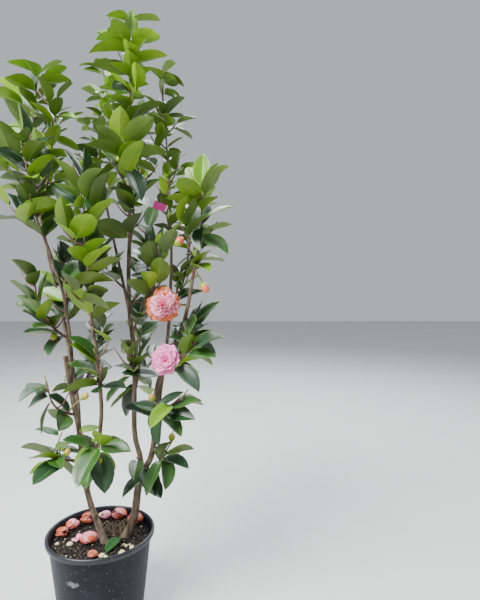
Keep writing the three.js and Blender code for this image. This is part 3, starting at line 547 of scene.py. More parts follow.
STEMS = {row[0]: Stem(*row) for row in MASSES}
LIMB_OF = {row[0]: Limb(*row) for row in LIMBS}
STEM_SPANS = Spans([stem.path for stem in STEMS.values()])
REACHES = np.array([stem.reach for stem in STEMS.values()], float)
OBSTACLES = Spans(
    [limb.path for limb in LIMB_OF.values()]
    + [np.array([LABEL["place"], LABEL["tail"]], float), np.array(LABEL_GAP["line"], float)]
    + [np.array([bloom["centre"]], float) for bloom in BLOOMS]
)
OBSTACLE_RADII = np.array(
    [limb.radii[0] for limb in LIMB_OF.values()] + [LABEL["width"] / 2, LABEL_GAP["radius"]]
    + [bloom["radius"] for bloom in BLOOMS], float
)


def fits(points, owner):
    """Whether points keep to a shoot's own space, clear of limbs, label and flowers."""
    points = np.array(points)
    if (points[:, 2] < LOWEST_LEAF).any():
        return False
    gaps = STEM_SPANS.distances(points)
    own = gaps[:, owner]
    if (own > REACHES[owner]).any():
        return False
    if (OBSTACLES.distances(points) < OBSTACLE_RADII + CLEAR).any():
        return False
    others = gaps - SHARE * (REACHES - REACHES[owner])
    others[:, owner] = np.inf
    return bool((others > own[:, None] + 2 * CLEAR).all())


def heading(bearing, rise):
    """The direction at a bearing round the vertical and a rise above the level."""
    level = math.cos(rise)
    return np.array([level * math.cos(bearing), level * math.sin(bearing), math.sin(rise)])


class Leaf:
    """A leaf's place: its root, the way it points, the way its breadth runs and the way its face looks."""

    def __init__(self, root, ahead, side, length, width, kind=None):
        self.root, self.ahead, self.side = root, ahead, side
        self.length, self.width, self.kind = length, width, kind
        self.face = np.cross(ahead, side)

    def point(self, s, aside):
        """The place at a share of the leaf's length and so far to its side."""
        sag = LEAF["droop"] * s * s * self.length
        return self.root + self.ahead * s * self.length + self.side * aside - self.face * sag

    def probe(self):
        """The points by which the leaf's room is tested."""
        points = [self.point(s, 0) for s in PROBE["rib"]]
        for s, breadth in PROBE["rows"]:
            points += [self.point(s, self.width * breadth * aside) for aside in PROBE["across"]]
        return points


def turned_leaf(root, bearing, rise, roll, length, width):
    """A leaf that points at a bearing and a rise, rolled about its own length."""
    ahead = heading(bearing, rise)
    across = heading(bearing + math.pi / 2, 0)
    upper = np.cross(ahead, across)
    return Leaf(root, ahead, across * math.cos(roll) + upper * math.sin(roll), length, width)


def sight_line(pixel):
    """The way in which the photo's camera sees a spot of its picture."""
    across, down = [(place - middle) / VIEW["focal"] for place, middle in zip(pixel, VIEW["middle"])]
    level, dip = math.cos(VIEW["pitch"]), math.sin(VIEW["pitch"])
    return unit(np.array([across, level - down * dip, -dip - down * level]))


def leaf_as_seen(root, seen):
    """A leaf from its root to its tip's sight line, rolled to show as much of a face as the photo does."""
    eye, line = np.array(VIEW["place"]), sight_line(seen.tip_pixel)
    beside = eye + line * (root - eye).dot(line)
    depth = math.sqrt(max(seen.length**2 - (beside - root).dot(beside - root), 0))
    ahead = unit(beside + line * depth * seen.away - root)
    to_eye = unit(eye - root)
    facing = unit(to_eye - ahead * to_eye.dot(ahead))
    rest = np.cross(ahead, facing) * math.sqrt(1 - seen.opening**2)
    face = max((facing * seen.opening + rest, facing * seen.opening - rest), key=lambda way: way[2])
    ahead = unit(ahead + face * LEAF["droop"])
    width = seen.length * LEAF["slender"] * SEEN_BREADTH
    return Leaf(root, ahead, unit(np.cross(face, ahead)), seen.length, width, seen.kind)


def rise_at(z):
    """How a leaf rises by its height: hanging low down, steep half way up and nearly level at the top."""
    heights = (RISE["lowest"], RISE["middle"], RISE["highest"])
    return float(np.interp(z, heights, (RISE["low"], RISE["steep"], RISE["high"])))


class Shoot:
    """What grows on one stem: its leaves and twigs, and the points that they already fill."""

    def __init__(self, owner, stem):
        self.owner, self.stem = owner, stem
        self.leaves, self.twigs = [], []
        self.filled = np.empty((0, 3))
        self.draw = seeded(stem.seed)

    def place_leaf(self, root, bearing, rise, age=1.0):
        """Sets the first turn and size of a leaf that finds room, or none."""
        draw = self.draw
        length = LEAF["length"] * self.stem.leaf_size * (LEAF["shortest"] + LEAF["longer"] * draw())
        width = length * LEAF["slender"] * (LEAF["slimmest"] + LEAF["broader"] * draw())
        lift = rise + TURN["sway"] * (draw() - 0.5)
        roll = TURN["roll"] * (draw() - 0.5)
        for swing, steeper, scale in TRIES:
            size = scale * age
            leaf = turned_leaf(root, bearing + swing, lift + steeper, roll, length * size, width * size)
            probe = np.array(leaf.probe())
            blade = probe[1:]
            gaps = np.linalg.norm(self.filled[:, None, :] - blade[None], axis=2)
            if (gaps > LEAF["spacing"]).all() and fits(probe, self.owner):
                self.filled = np.concatenate([self.filled, blade])
                self.leaves.append(leaf)
                return

    def grow_twig(self, root, bearing, full_length):
        """Grows the first turn and size of a twig that finds room, with its leaves, or none."""
        draw = self.draw
        size = full_length * (TWIG["shortest"] + TWIG["longer"] * draw())
        rise = TWIG["rise"] + TWIG["steeper"] * draw()
        hand = -1 if draw() < 0.5 else 1
        for swing, steeper, scale in TRIES:
            ahead = heading(bearing + swing, rise + steeper)
            half = size * scale / 2
            middle = root + ahead * half
            tip = middle + ahead * half + UP * size * TWIG["upturn"]
            if fits([middle, tip], self.owner):
                path = np.array([root, middle, tip])
                count = 2 + round(size / TWIG["leaf_gap"])
                self.twigs.append(path)
                for i in range(count):
                    place = along(path, TWIG["first_leaf"] + TWIG["leaf_run"] * i / (count - 1))
                    spread = TWIG["spread"] if i < count - 2 else TWIG["tip_spread"]
                    turn = bearing + swing + spread * (hand if i % 2 == 0 else -hand)
                    self.place_leaf(place, turn, rise_at(place[2]))
                return

    def place_seen(self):
        """The leaves that the photo shows plainly, and the sprout that carries the topmost of them."""
        path = self.stem.path
        all_seen = [SeenLeaf(*row) for row in SEEN_LEAVES.get(self.stem.name, [])]
        sprout = path[-1] + unit(path[-1] - path[-2]) * SPROUT["length"]
        if any(seen.at > 1 for seen in all_seen):
            self.twigs.append(np.array([path[-1], (path[-1] + sprout) / 2, sprout]))
        for seen in all_seen:
            root = along(path, seen.at)
            if seen.at > 1:
                root = path[-1] + (sprout - path[-1]) * (seen.at - 1) / SPROUT["share"]
            leaf = leaf_as_seen(root, seen)
            self.filled = np.concatenate([self.filled, leaf.probe()[1:]])
            self.leaves.append(leaf)

    def grow(self):
        """The leaves that the photo shows plainly, those of the solids' rule, and finer ones between them."""
        self.place_seen()
        stem = self.stem
        turn = 2 * math.pi * self.draw()
        nodes = stem.leaves + stem.twigs
        share = (nodes - TWIG["topmost"]) / max(stem.twigs, 1)
        twig_nodes = {math.floor((k + TWIG["lowest"]) * share) for k in range(stem.twigs)}
        chord = np.linalg.norm(stem.path[-1] - stem.path[0])
        bare = min(STEM["barest"], STEM["bare"] / chord)
        for i in range(nodes):
            t = bare + (1 - bare) * i / (nodes - STEM["open"])
            root = along(stem.path, t)
            bearing = turn + i * GOLDEN_ANGLE
            last = i == nodes - 1
            rise = TURN["top"] if last else rise_at(root[2]) + TURN["gather"] * t**3
            if i in twig_nodes:
                self.grow_twig(root, bearing, stem.twig_length)
            else:
                self.place_leaf(root, bearing, rise)
        self.thicken(turn, bare, chord)

    def thicken(self, turn, bare, chord):
        """Finer twigs and small leaves between the first ones, where the space is still free."""
        path = self.stem.path
        self.draw = seeded(self.stem.seed + FINE["seed"])
        count = max(FINE["fewest"], round(chord / FINE["gap"]))
        for i in range(count):
            root = along(path, bare + (1 - bare) * (i + FINE["first_twig"]) / count)
            self.grow_twig(root, turn + FINE["twig_turn"] + i * GOLDEN_ANGLE, FINE["twig"])
        for i in range(2 * count):
            t = bare + (FINE["last_leaf"] - bare) * (i + FINE["first_leaf"]) / (2 * count)
            root = along(path, t)
            rise = rise_at(root[2]) + TURN["gather"] * t**3
            self.place_leaf(root, turn + FINE["leaf_turn"] + i * GOLDEN_ANGLE, rise, FINE["leaf"])


SHOOTS = [Shoot(owner, stem) for owner, stem in enumerate(STEMS.values())]
for shoot in SHOOTS:
    shoot.grow()


# Meshes

def new_object(name, data):
    """An object of a mesh, a light or a camera, put into the scene."""
    made = bpy.data.objects.new(name, data)
    bpy.context.scene.collection.objects.link(made)
    return made


def mesh_piece(name, vertices, faces, materials, indices=None, smooth=True):
    mesh = bpy.data.meshes.new(name)
    mesh.from_pydata([tuple(v) for v in vertices], [], faces, shade_flat=not smooth)
    for made in materials:
        mesh.materials.append(made)
    if indices is not None:
        mesh.polygons.foreach_set("material_index", indices)
    mesh.validate()
    return new_object(name, mesh)


def modified_mesh(piece):
    """The plain mesh that a piece's modifiers make of it."""
    depsgraph = bpy.context.evaluated_depsgraph_get()
    return bpy.data.meshes.new_from_object(piece.evaluated_get(depsgraph))


def give_map(mesh, spots):
    """The map that a piece's finish reads, from a spot for each vertex."""
    corners = mesh.uv_layers.new(name=PIECE_MAP).data
    for loop in mesh.loops:
        corners[loop.index].uv = spots[loop.vertex_index]


def band(low, high):
    """The faces between two closed rings of vertex numbers."""
    after = [*range(1, len(low)), 0]
    return [(low[k], low[j], high[j], high[k]) for k, j in enumerate(after)]


def turned_over(faces):
    """The same faces, looking the other way."""
    return [(face[0], *face[:0:-1]) for face in faces]


def bands(rings, sides):
    """The faces of a skin over so many rings of vertices, one after the other."""
    grid = np.arange(rings * sides).reshape(rings, sides).tolist()
    return [face for low, high in zip(grid, grid[1:]) for face in band(low, high)]


def end_faces(rings, sides):
    """The faces that close both ends of a skin."""
    last = (rings - 1) * sides
    return [tuple(range(sides))[::-1], tuple(range(last, last + sides))]


def circle(radius, sides, z):
    angles = [2 * math.pi * k / sides for k in range(sides)]
    return [(radius * math.cos(angle), radius * math.sin(angle), z) for angle in angles]


class Skin:
    """Vertices and faces gathered for one mesh, with a material index for each face."""

    def __init__(self):
        self.vertices, self.faces, self.indices = [], [], []

    def add(self, vertices, faces, index=0):
        start = len(self.vertices)
        self.vertices += [np.array(v) * MM for v in vertices]
        self.faces += [tuple(start + i for i in face) for face in faces]
        self.indices += [index] * len(faces)

    def piece(self, name, materials, smooth=True):
        return mesh_piece(name, self.vertices, self.faces, materials, self.indices, smooth)


def square_frames(path):
    """A pair of directions square to a path at each of its points, turning as little as they can."""
    tangents = np.gradient(path, axis=0)
    tangents /= np.linalg.norm(tangents, axis=1)[:, None]
    first = np.cross(tangents[0], FRAME_START)
    frames = []
    for tangent in tangents:
        first = unit(first - tangent * first.dot(tangent))
        frames.append((first, np.cross(tangent, first)))
    return frames


def tube(skin, path, radius_at, sides, index=0, tip_index=None):
    """A round closed tube; radius_at takes the share of the way and the angle."""
    last = len(path) - 1
    vertices = []
    for i, (point, (first, second)) in enumerate(zip(path, square_frames(path))):
        for k in range(sides):
            angle = 2 * math.pi * k / sides
            reach = radius_at(i / last, angle)
            vertices.append(point + first * reach * math.cos(angle) + second * reach * math.sin(angle))
    skin.add(vertices, bands(len(path), sides) + end_faces(len(path), sides), index)
    skin.indices[-1] = index if tip_index is None else tip_index


# Node trees

def socket_kind(value):
    """The kind of socket for a first value; a word is the name of a kind that has no first value."""
    if isinstance(value, str):
        return value
    if isinstance(value, tuple):
        return "Color" if len(value) == len(WHITE) else "Vector"
    return "Int" if isinstance(value, int) else "Float"


def new_tree(name, kind, inputs, outputs):
    """A node tree and its input sockets, from inputs by name and first value and outputs by name and kind."""
    tree = bpy.data.node_groups.new(name, kind)
    for label, value in inputs.items():
        socket = f"NodeSocket{socket_kind(value)}"
        made = tree.interface.new_socket(label, in_out="INPUT", socket_type=socket)
        if not isinstance(value, str):
            made.default_value = value
    for label, socket in outputs.items():
        tree.interface.new_socket(label, in_out="OUTPUT", socket_type=f"NodeSocket{socket}")
    return tree, add_node(tree, "NodeGroupInput").outputs


def add_node(tree, kind, inputs=None, **settings):
    """A node with its settings; each input, by name or number, is a value or the socket that feeds it."""
    made = tree.nodes.new(kind)
    for key, value in settings.items():
        setattr(made, key, value)
    for key, value in (inputs or {}).items():
        if isinstance(value, bpy.types.NodeSocket):
            tree.links.new(value, made.inputs[key])
        else:
            made.inputs[key].default_value = value
    return made


def maths(tree):
    """A shorthand for maths nodes in a tree: each call returns the output socket."""
    def calc(operation, *terms):
        return add_node(tree, "ShaderNodeMath", dict(enumerate(terms)), operation=operation).outputs[0]
    return calc


def vector_maths(tree, operation, *terms):
    return add_node(tree, "ShaderNodeVectorMath", dict(enumerate(terms)), operation=operation)


def object_place(tree):
    return add_node(tree, "ShaderNodeTexCoord").outputs["Object"]


def noise(tree, place, scale, detail, roughness=0.5):
    made = add_node(tree, "ShaderNodeTexNoise", {
        "Vector": place, "Scale": scale, "Detail": detail, "Roughness": roughness})
    return made.outputs["Fac"]


def mixed_colour(tree, share, first, second):
    """The Mix node's colours have the numbers 6 and 7, and its colour output the number 2."""
    return add_node(tree, "ShaderNodeMix", {0: share, 6: first, 7: second}, data_type="RGBA").outputs[2]


def mottle_group():
    """Two tones that mix in soft patches over the piece, and a finer unevenness for its relief."""
    tree, feed = new_tree(
        "mottle", "ShaderNodeTree",
        {"Light": WHITE, "Dark": BLACK, "Scale": 30.0, "Fine Scale": 400.0, "Stretch": 1.0},
        {"Color": "Color", "Height": "Float"},
    )
    spread = add_node(tree, "ShaderNodeCombineXYZ", {"X": 1, "Y": 1, "Z": feed["Stretch"]})
    drawn = vector_maths(tree, "MULTIPLY", object_place(tree), spread.outputs[0]).outputs[0]
    patches = noise(tree, drawn, feed["Scale"], detail=3.0, roughness=0.55)
    share = add_node(tree, "ShaderNodeMapRange", {"Value": patches, "From Min": 0.35, "From Max": 0.65})
    colour = mixed_colour(tree, share.outputs[0], feed["Dark"], feed["Light"])
    height = noise(tree, drawn, feed["Fine Scale"], detail=4.0, roughness=0.6)
    add_node(tree, "NodeGroupOutput", {"Color": colour, "Height": height})
    return tree


def veins_group():
    """The relief of a leaf: side veins that slant forward from the rib, read from the leaf's own map."""
    tree, feed = new_tree(
        "leaf_veins", "ShaderNodeTree", {"Count": 9.0, "Slant": 0.45, "Grain": 0.35}, {"Height": "Float"})
    calc = maths(tree)
    leaf_map = add_node(tree, "ShaderNodeUVMap", uv_map=PIECE_MAP)
    spot = add_node(tree, "ShaderNodeSeparateXYZ", {0: leaf_map.outputs[0]}).outputs
    aside = calc("ABSOLUTE", calc("SUBTRACT", spot["X"], 0.5))
    run = calc("SUBTRACT", spot["Y"], calc("MULTIPLY", aside, feed["Slant"]))
    wave = calc("SINE", calc("MULTIPLY", calc("MULTIPLY", run, feed["Count"]), 2 * math.pi))
    groove = calc("POWER", calc("ABSOLUTE", wave), 0.5)
    grain = noise(tree, object_place(tree), scale=420.0, detail=3.0)
    height = calc("ADD", groove, calc("MULTIPLY", grain, feed["Grain"]))
    add_node(tree, "NodeGroupOutput", {"Height": height})
    return tree


def petal_group():
    """A petal's tint from its middle to its edge, with fine streaks, read from the petal's own map."""
    tree, feed = new_tree(
        "petal_tint", "ShaderNodeTree",
        {"Middle": WHITE, "Edge": WHITE, "Start": 0.4, "End": 1.0, "Blotch": 0.5},
        {"Color": "Color", "Height": "Float"},
    )
    calc = maths(tree)
    petal_map = add_node(tree, "ShaderNodeUVMap", uv_map=PIECE_MAP).outputs[0]
    spot = add_node(tree, "ShaderNodeSeparateXYZ", {0: petal_map}).outputs
    aside = calc("MULTIPLY", calc("ABSOLUTE", calc("SUBTRACT", spot["X"], 0.5)), 2.0)
    outward = calc("MAXIMUM", aside, spot["Y"])
    blotches = noise(tree, object_place(tree), scale=95.0, detail=3.0)
    uneven = calc("MULTIPLY", calc("SUBTRACT", blotches, 0.5), feed["Blotch"])
    share = add_node(tree, "ShaderNodeMapRange", {
        "Value": calc("ADD", outward, uneven), "From Min": feed["Start"], "From Max": feed["End"],
    }, interpolation_type="SMOOTHSTEP")
    colour = mixed_colour(tree, share.outputs[0], feed["Middle"], feed["Edge"])
    streaked = vector_maths(tree, "MULTIPLY", petal_map, STREAKS).outputs[0]
    height = noise(tree, streaked, scale=1.0, detail=2.0)
    add_node(tree, "NodeGroupOutput", {"Color": colour, "Height": height})
    return tree


def scuffs_group():
    """Dust specks strewn over a surface and one long scuff at a place on it."""
    tree, feed = new_tree(
        "scuffs", "ShaderNodeTree",
        {"Clean": BLACK, "Mark": WHITE, "Speck Scale": 260.0, "Speck Share": 0.16, "Speck Size": 0.26,
         "Scuff Place": (0, 0, 0), "Scuff Spread": (60, 60, 200), "Scuff Strength": 0.6},
        {"Color": "Color"},
    )
    calc = maths(tree)
    place = object_place(tree)
    cells = add_node(tree, "ShaderNodeTexVoronoi", {"Vector": place, "Scale": feed["Speck Scale"]})
    tone = add_node(tree, "ShaderNodeSeparateColor", {0: cells.outputs["Color"]}).outputs
    chosen = calc("LESS_THAN", tone[0], feed["Speck Share"])
    size = calc("MULTIPLY", tone[1], feed["Speck Size"])
    speck = calc("MULTIPLY", chosen, calc("LESS_THAN", cells.outputs["Distance"], size))
    apart = vector_maths(tree, "SUBTRACT", place, feed["Scuff Place"]).outputs[0]
    drawn = vector_maths(tree, "MULTIPLY", apart, feed["Scuff Spread"]).outputs[0]
    reach = vector_maths(tree, "LENGTH", drawn).outputs["Value"]
    torn = noise(tree, place, scale=130.0, detail=4.0)
    scuff = add_node(tree, "ShaderNodeMapRange", {
        "Value": calc("ADD", reach, torn), "From Min": 1.15, "From Max": 0.85})
    share = calc("MAXIMUM", speck, calc("MULTIPLY", scuff.outputs[0], feed["Scuff Strength"]))
    colour = mixed_colour(tree, share, feed["Clean"], feed["Mark"])
    add_node(tree, "NodeGroupOutput", {"Color": colour})
    return tree


MOTTLE, VEINS, PETAL, SCUFFS = mottle_group(), veins_group(), petal_group(), scuffs_group()


# Materials

def bare_finish(name, roughness, shader_values=None):
    """A material with its roughness and other plain values set, with its tree and shader."""
    made = bpy.data.materials.new(name)
    made.use_nodes = True
    shader = made.node_tree.nodes["Principled BSDF"]
    shader.inputs["Roughness"].default_value = roughness
    for label, value in (shader_values or {}).items():
        shader.inputs[label].default_value = value
    return made, made.node_tree, shader


def place_group(tree, group, values=None):
    """Puts a shared group into a material with the material's own values, and returns its outputs."""
    return add_node(tree, "ShaderNodeGroup", values, node_tree=group).outputs


def feed_shader(tree, shader, colour, height, strength, depth):
    """Gives a shader its colour, and its relief from a height."""
    relief = add_node(tree, "ShaderNodeBump", {"Strength": strength, "Distance": depth, "Height": height})
    tree.links.new(colour, shader.inputs["Base Color"])
    tree.links.new(relief.outputs["Normal"], shader.inputs["Normal"])


def finish(name, light, dark, roughness, scale=30, fine=400, stretch=1.0, bump=0.1, depth=0.0005):
    """A material of two mottled tones with a fine relief."""
    made, tree, shader = bare_finish(name, roughness)
    tones = place_group(tree, MOTTLE, {
        "Light": (*light, 1), "Dark": (*dark, 1), "Scale": scale, "Fine Scale": fine, "Stretch": stretch})
    feed_shader(tree, shader, tones["Color"], tones["Height"], bump, depth)
    return made


def leaf_finish(name, light, dark, roughness, relief, shader_values=None):
    """A leaf's face: two mottled tones with the relief of its veins."""
    made, tree, shader = bare_finish(name, roughness, shader_values)
    tones = place_group(tree, MOTTLE, {"Light": (*light, 1), "Dark": (*dark, 1), "Scale": SOFT_PATCHES})
    veins = place_group(tree, VEINS)
    feed_shader(tree, shader, tones["Color"], veins["Height"], relief, depth=0.0012)
    return made


def petal_finish(name, middle, edge, start, end, blotch):
    made, tree, shader = bare_finish(name, roughness=0.45)
    tint = place_group(tree, PETAL, {
        "Middle": (*middle, 1), "Edge": (*edge, 1), "Start": start, "End": end, "Blotch": blotch})
    feed_shader(tree, shader, tint["Color"], tint["Height"], strength=0.2, depth=0.0008)
    return made


def pot_finish(name, roughness, gloss):
    """Black plastic with dust specks and a scuff."""
    made, tree, shader = bare_finish(name, roughness, {"Specular IOR Level": gloss})
    tones = place_group(tree, MOTTLE, {
        "Light": (*POT_TONES["light"], 1), "Dark": (*POT_TONES["dark"], 1), "Scale": SOFT_PATCHES,
        "Fine Scale": 700.0})
    marks = place_group(tree, SCUFFS, {
        "Clean": tones["Color"], "Mark": (*POT_TONES["mark"], 1), "Scuff Place": SCUFF["place"],
        "Scuff Spread": SCUFF["spread"]})
    feed_shader(tree, shader, marks["Color"], tones["Height"], strength=0.12, depth=0.0004)
    return made


def leaf_finishes(kind):
    """The finishes of a leaf's blade, underside and rib."""
    tones = LEAF_TONES[kind]
    return [
        leaf_finish(f"leaf_{kind}_blade", *tones["blade"], roughness=0.34, relief=0.35,
                    shader_values=LEAF_GLOSS),
        leaf_finish(f"leaf_{kind}_under", *tones["under"], roughness=0.5, relief=0.25),
        finish(f"leaf_{kind}_rib", *tones["rib"], roughness=0.45, fine=500),
    ]


# Leaves: a few forms of one unit leaf, set at the places that the rule gives

def leaf_form(number):
    """A closed unit leaf along +X on a short stalk: blade, underside, rib and margin, its breadth along Y."""
    draw = seeded(LEAF_FORM["first_seed"] + number)
    fold, sag = by_chance(LEAF_FORM["fold"], draw), by_chance(LEAF_FORM["sag"], draw)
    bow = LEAF_FORM["bow"] * (draw() - 0.5)
    wave = LEAF_FORM["wave"] * draw()
    puff = by_chance(LEAF_FORM["puff"], draw)
    phase = 2 * math.pi * draw()
    full = by_chance(LEAF_FORM["full"], draw)
    vertices, top, bottom = [], [], []

    def put(s, aside, rise):
        vertices.append((s, aside + bow * s * s, rise - sag * s * s))
        return len(vertices) - 1

    for s, breadth in LEAF_ROWS:
        if breadth == 0:
            end = put(s, 0, 0)
            top.append([end] * len(LEAF_COLUMNS))
            bottom.append([end] * UNDER_COLUMNS)
            continue
        half = 0.5 * breadth**full
        rib = LEAF_FORM["rib"] * (LEAF_FORM["rib_run"] - s)
        row = []
        for column in LEAF_COLUMNS:
            share = abs(column)
            on_rib = share < LEAF_FORM["rib_columns"]
            aside = math.copysign(rib, column) if on_rib else column * half
            crown = 0.5 * puff * math.sin(math.pi * share) * breadth
            turn = LEAF_FORM["waves"] * s + phase + (LEAF_FORM["other_side"] if column > 0 else 0)
            groove = LEAF_FORM["groove"] if on_rib else 0
            row.append(put(s, aside, fold * half * share + crown + wave * share * math.sin(turn) - groove))
        top.append(row)
        level = -LEAF_FORM["under_rib"]
        bottom.append([row[0], put(s, -rib, level), put(s, rib, level), row[-1]])

    faces, parts = [], []

    def skin(rows, upward, part_of):
        for low, high in zip(rows, rows[1:]):
            for k in range(len(low) - 1):
                ring = [low[k], high[k], high[k + 1], low[k + 1]]
                ring = list(dict.fromkeys(ring[::-1] if upward else ring))
                if len(ring) > 2:
                    faces.append(ring)
                    parts.append(part_of(k))

    skin(top, True, lambda k: RIB_PART if k in RIB_STRIPS else BLADE_PART)
    skin(bottom, False, lambda k: RIB_PART if k == UNDER_RIB_STRIP else UNDER_PART)
    base = len(vertices)
    for s, half_width, half_height, drop in STALK:
        level = -drop - sag * s * s
        vertices += [(s, -half_width, level), (s, 0, level - half_height),
                     (s, half_width, level), (s, 0, level + STALK_TOP * half_height)]
    stalk = bands(len(STALK), STALK_SIDES) + end_faces(len(STALK), STALK_SIDES)
    faces += [[base + corner for corner in face] for face in stalk]
    parts += [RIB_PART] * len(stalk)

    form = mesh_piece(f"leaf_form_{number}", vertices, faces, [])
    form.data.attributes.new("part", "INT", "FACE").data.foreach_set("value", parts)
    give_map(form.data, [(0.5 + y, x) for x, y, _ in vertices])
    outline = {frozenset((low[k], high[k])) for low, high in zip(top, top[1:]) for k in (0, -1)}
    for edge in form.data.edges:
        edge.use_edge_sharp = frozenset(edge.vertices) in outline
    return form


def named_attribute(tree, name, kind):
    return add_node(tree, "GeometryNodeInputNamedAttribute", {"Name": name}, data_type=kind).outputs[0]


def leaves_tree():
    """Sets a form on each point by its turn, size and number; blade, underside and rib get their finishes."""
    finishes = ("Blade", "Underside", "Rib")
    tree, feed = new_tree(
        "leaves_on_places", "GeometryNodeTree",
        {"Geometry": "Geometry", "Forms": "Collection", **dict.fromkeys(finishes, "Material")},
        {"Geometry": "Geometry"},
    )
    forms = add_node(tree, "GeometryNodeCollectionInfo", {
        "Collection": feed["Forms"], "Separate Children": True, "Reset Children": True})
    placed = add_node(tree, "GeometryNodeInstanceOnPoints", {
        "Points": feed["Geometry"], "Instance": forms.outputs[0], "Pick Instance": True,
        "Instance Index": named_attribute(tree, "form", "INT"),
        "Rotation": named_attribute(tree, "turn", "QUATERNION"),
        "Scale": named_attribute(tree, "size", "FLOAT_VECTOR")})
    shape = add_node(tree, "GeometryNodeRealizeInstances", {0: placed.outputs[0]}).outputs[0]
    for part, label in enumerate(finishes):
        chosen = add_node(tree, "FunctionNodeCompare", {
            2: named_attribute(tree, "part", "INT"), 3: part}, data_type="INT", operation="EQUAL")
        shape = add_node(tree, "GeometryNodeSetMaterial", {
            "Geometry": shape, "Selection": chosen.outputs[0], "Material": feed[label]}).outputs[0]
    add_node(tree, "NodeGroupOutput", {0: shape})
    return tree


def grown_from(name, source, tree, values):
    """Runs a node tree on an object with named inputs and returns the result as a plain piece."""
    modifier = source.modifiers.new("grow", "NODES")
    modifier.node_group = tree
    for item in tree.interface.items_tree:
        if item.in_out == "INPUT" and item.name in values:
            modifier[item.identifier] = values[item.name]
    mesh = modified_mesh(source)
    mesh.name = name
    bpy.data.objects.remove(source)
    return new_object(name, mesh)


def leaves_piece(name, leaves, tree, forms, finishes, draw):
    places = bpy.data.meshes.new(f"{name}_places")
    places.from_pydata([tuple(leaf.root * MM) for leaf in leaves], [], [])
    turns, sizes, numbers = [], [], []
    for leaf in leaves:
        turns += list(Matrix((leaf.ahead, leaf.side, leaf.face)).transposed().to_quaternion())
        sizes += [leaf.length * MM, leaf.width * MM, leaf.length * MM]
        numbers.append(int(draw() * LEAF_FORM["forms"]))
    places.attributes.new("turn", "QUATERNION", "POINT").data.foreach_set("value", turns)
    places.attributes.new("size", "FLOAT_VECTOR", "POINT").data.foreach_set("vector", sizes)
    places.attributes.new("form", "INT", "POINT").data.foreach_set("value", numbers)
    values = {"Forms": forms, "Blade": finishes[0], "Underside": finishes[1], "Rib": finishes[2]}
    return grown_from(name, new_object(f"{name}_source", places), tree, values)


def kind_of(youth, t, draw):
    """Which colour a leaf takes: mostly by its spray, a little by how near the tip it is."""
    young = youth * (YOUTH["foot"] + YOUTH["more"] * t)
    share = draw()
    if share < young:
        return "young"
    return "green" if share < young + YOUTH["green"] else "old"


def make_leaves(finishes):
    forms = bpy.data.collections.new("leaf_forms")
    for number in range(LEAF_FORM["forms"]):
        form = leaf_form(number)
        bpy.context.scene.collection.objects.unlink(form)
        forms.objects.link(form)
    tree = leaves_tree()
    draw = seeded(KIND_SEED)
    kinds = {kind: [] for kind in LEAF_TONES}
    for shoot in SHOOTS:
        low, high = shoot.stem.path[0][2], shoot.stem.path[-1][2]
        for leaf in shoot.leaves:
            t = min(max((leaf.root[2] - low) / max(high - low, 1), 0), 1)
            kinds[leaf.kind or kind_of(shoot.stem.youth, t, draw)].append(leaf)
    pieces = [
        leaves_piece(f"leaves_{kind}", leaves, tree, forms, finishes[kind], draw)
        for kind, leaves in kinds.items()
    ]
    for form in list(forms.objects):
        bpy.data.objects.remove(form)
    bpy.data.collections.remove(forms)
    return pieces


def make_fallen_leaf(finishes):
    """The green leaf that lies on the soil, its upper face to the sky."""
    root, tip = np.array(FALLEN_LEAF["root"]), np.array(FALLEN_LEAF["tip"])
    ahead, length = unit(tip - root), float(np.linalg.norm(tip - root))
    side = unit(np.cross(UP, ahead))
    ahead = unit(ahead - UP * FALLEN_LEAF["dip"])
    turn = Matrix((ahead, side, np.cross(ahead, side))).transposed().to_4x4()
    size = Matrix.Diagonal((length * MM, FALLEN_LEAF["width"] * MM, length * MM, 1))
    piece = leaf_form(FALLEN_LEAF["form"])
    piece.name = piece.data.name = "dropped_leaf"
    piece.data.transform(Matrix.Translation(Vector(root + UP * FALLEN_LEAF["lift"]) * MM) @ turn @ size)
    for made in finishes:
        piece.data.materials.append(made)
    parts = [part.value for part in piece.data.attributes["part"].data]
    piece.data.polygons.foreach_set("material_index", parts)
    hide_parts("fallen_leaf")
    return piece


# Wood: the limbs with the bark's relief, and the smooth shoots and twigs

def bark_radius(limb, length, seed):
    """The limb's taper and flare, with ridges, swellings at its joints and a collar at its parent."""
    draw = seeded(seed)
    foot, tip = limb.radii
    *ridge_phases, round_phase, long_phase, root_phase, _ = [
        RANDOM_TURN * draw() for _ in range(BARK_FORM["phases"])
    ]
    joints, place = [], by_chance(BARK_FORM["first_joint"], draw)
    while place < length:
        joints.append((place, by_chance(BARK_FORM["swell"], draw), RANDOM_TURN * draw()))
        place += by_chance(BARK_FORM["next_joint"], draw)
    grain, roots, collar = BARK_FORM["grain"], BARK_FORM["roots"], BARK_FORM["collar"]

    def radius(t, angle):
        run = t * length
        plain = foot + (tip - foot) * t + limb.flare * math.exp(-run / ROOT_FLARE)
        relief = 1
        if limb.flare:
            buttress = math.sin(roots["count"] * angle + root_phase)
            relief += roots["depth"] * math.exp(-run / roots["run"]) * buttress
        else:
            relief += collar["depth"] * math.exp(-run / collar["run"])
        for (depth, count, pitch), phase in zip(BARK_FORM["ridges"], ridge_phases):
            relief += depth * math.sin(count * angle + phase + run / pitch)
        round_grain = math.sin(grain["count"] * angle + round_phase + run / grain["twist"])
        relief += grain["depth"] * round_grain * math.sin(run / grain["length"] + long_phase)
        for at, size, side in joints:
            if abs(run - at) < BARK_FORM["joint_reach"]:
                even, more = BARK_FORM["one_side"]
                one_side = even + more * math.cos(angle - side)
                relief += size * math.exp(-(((run - at) / BARK_FORM["joint_length"]) ** 2)) * one_side
        return plain * relief

    return radius


def path_length(path):
    return float(np.linalg.norm(np.diff(path, axis=0), axis=1).sum())


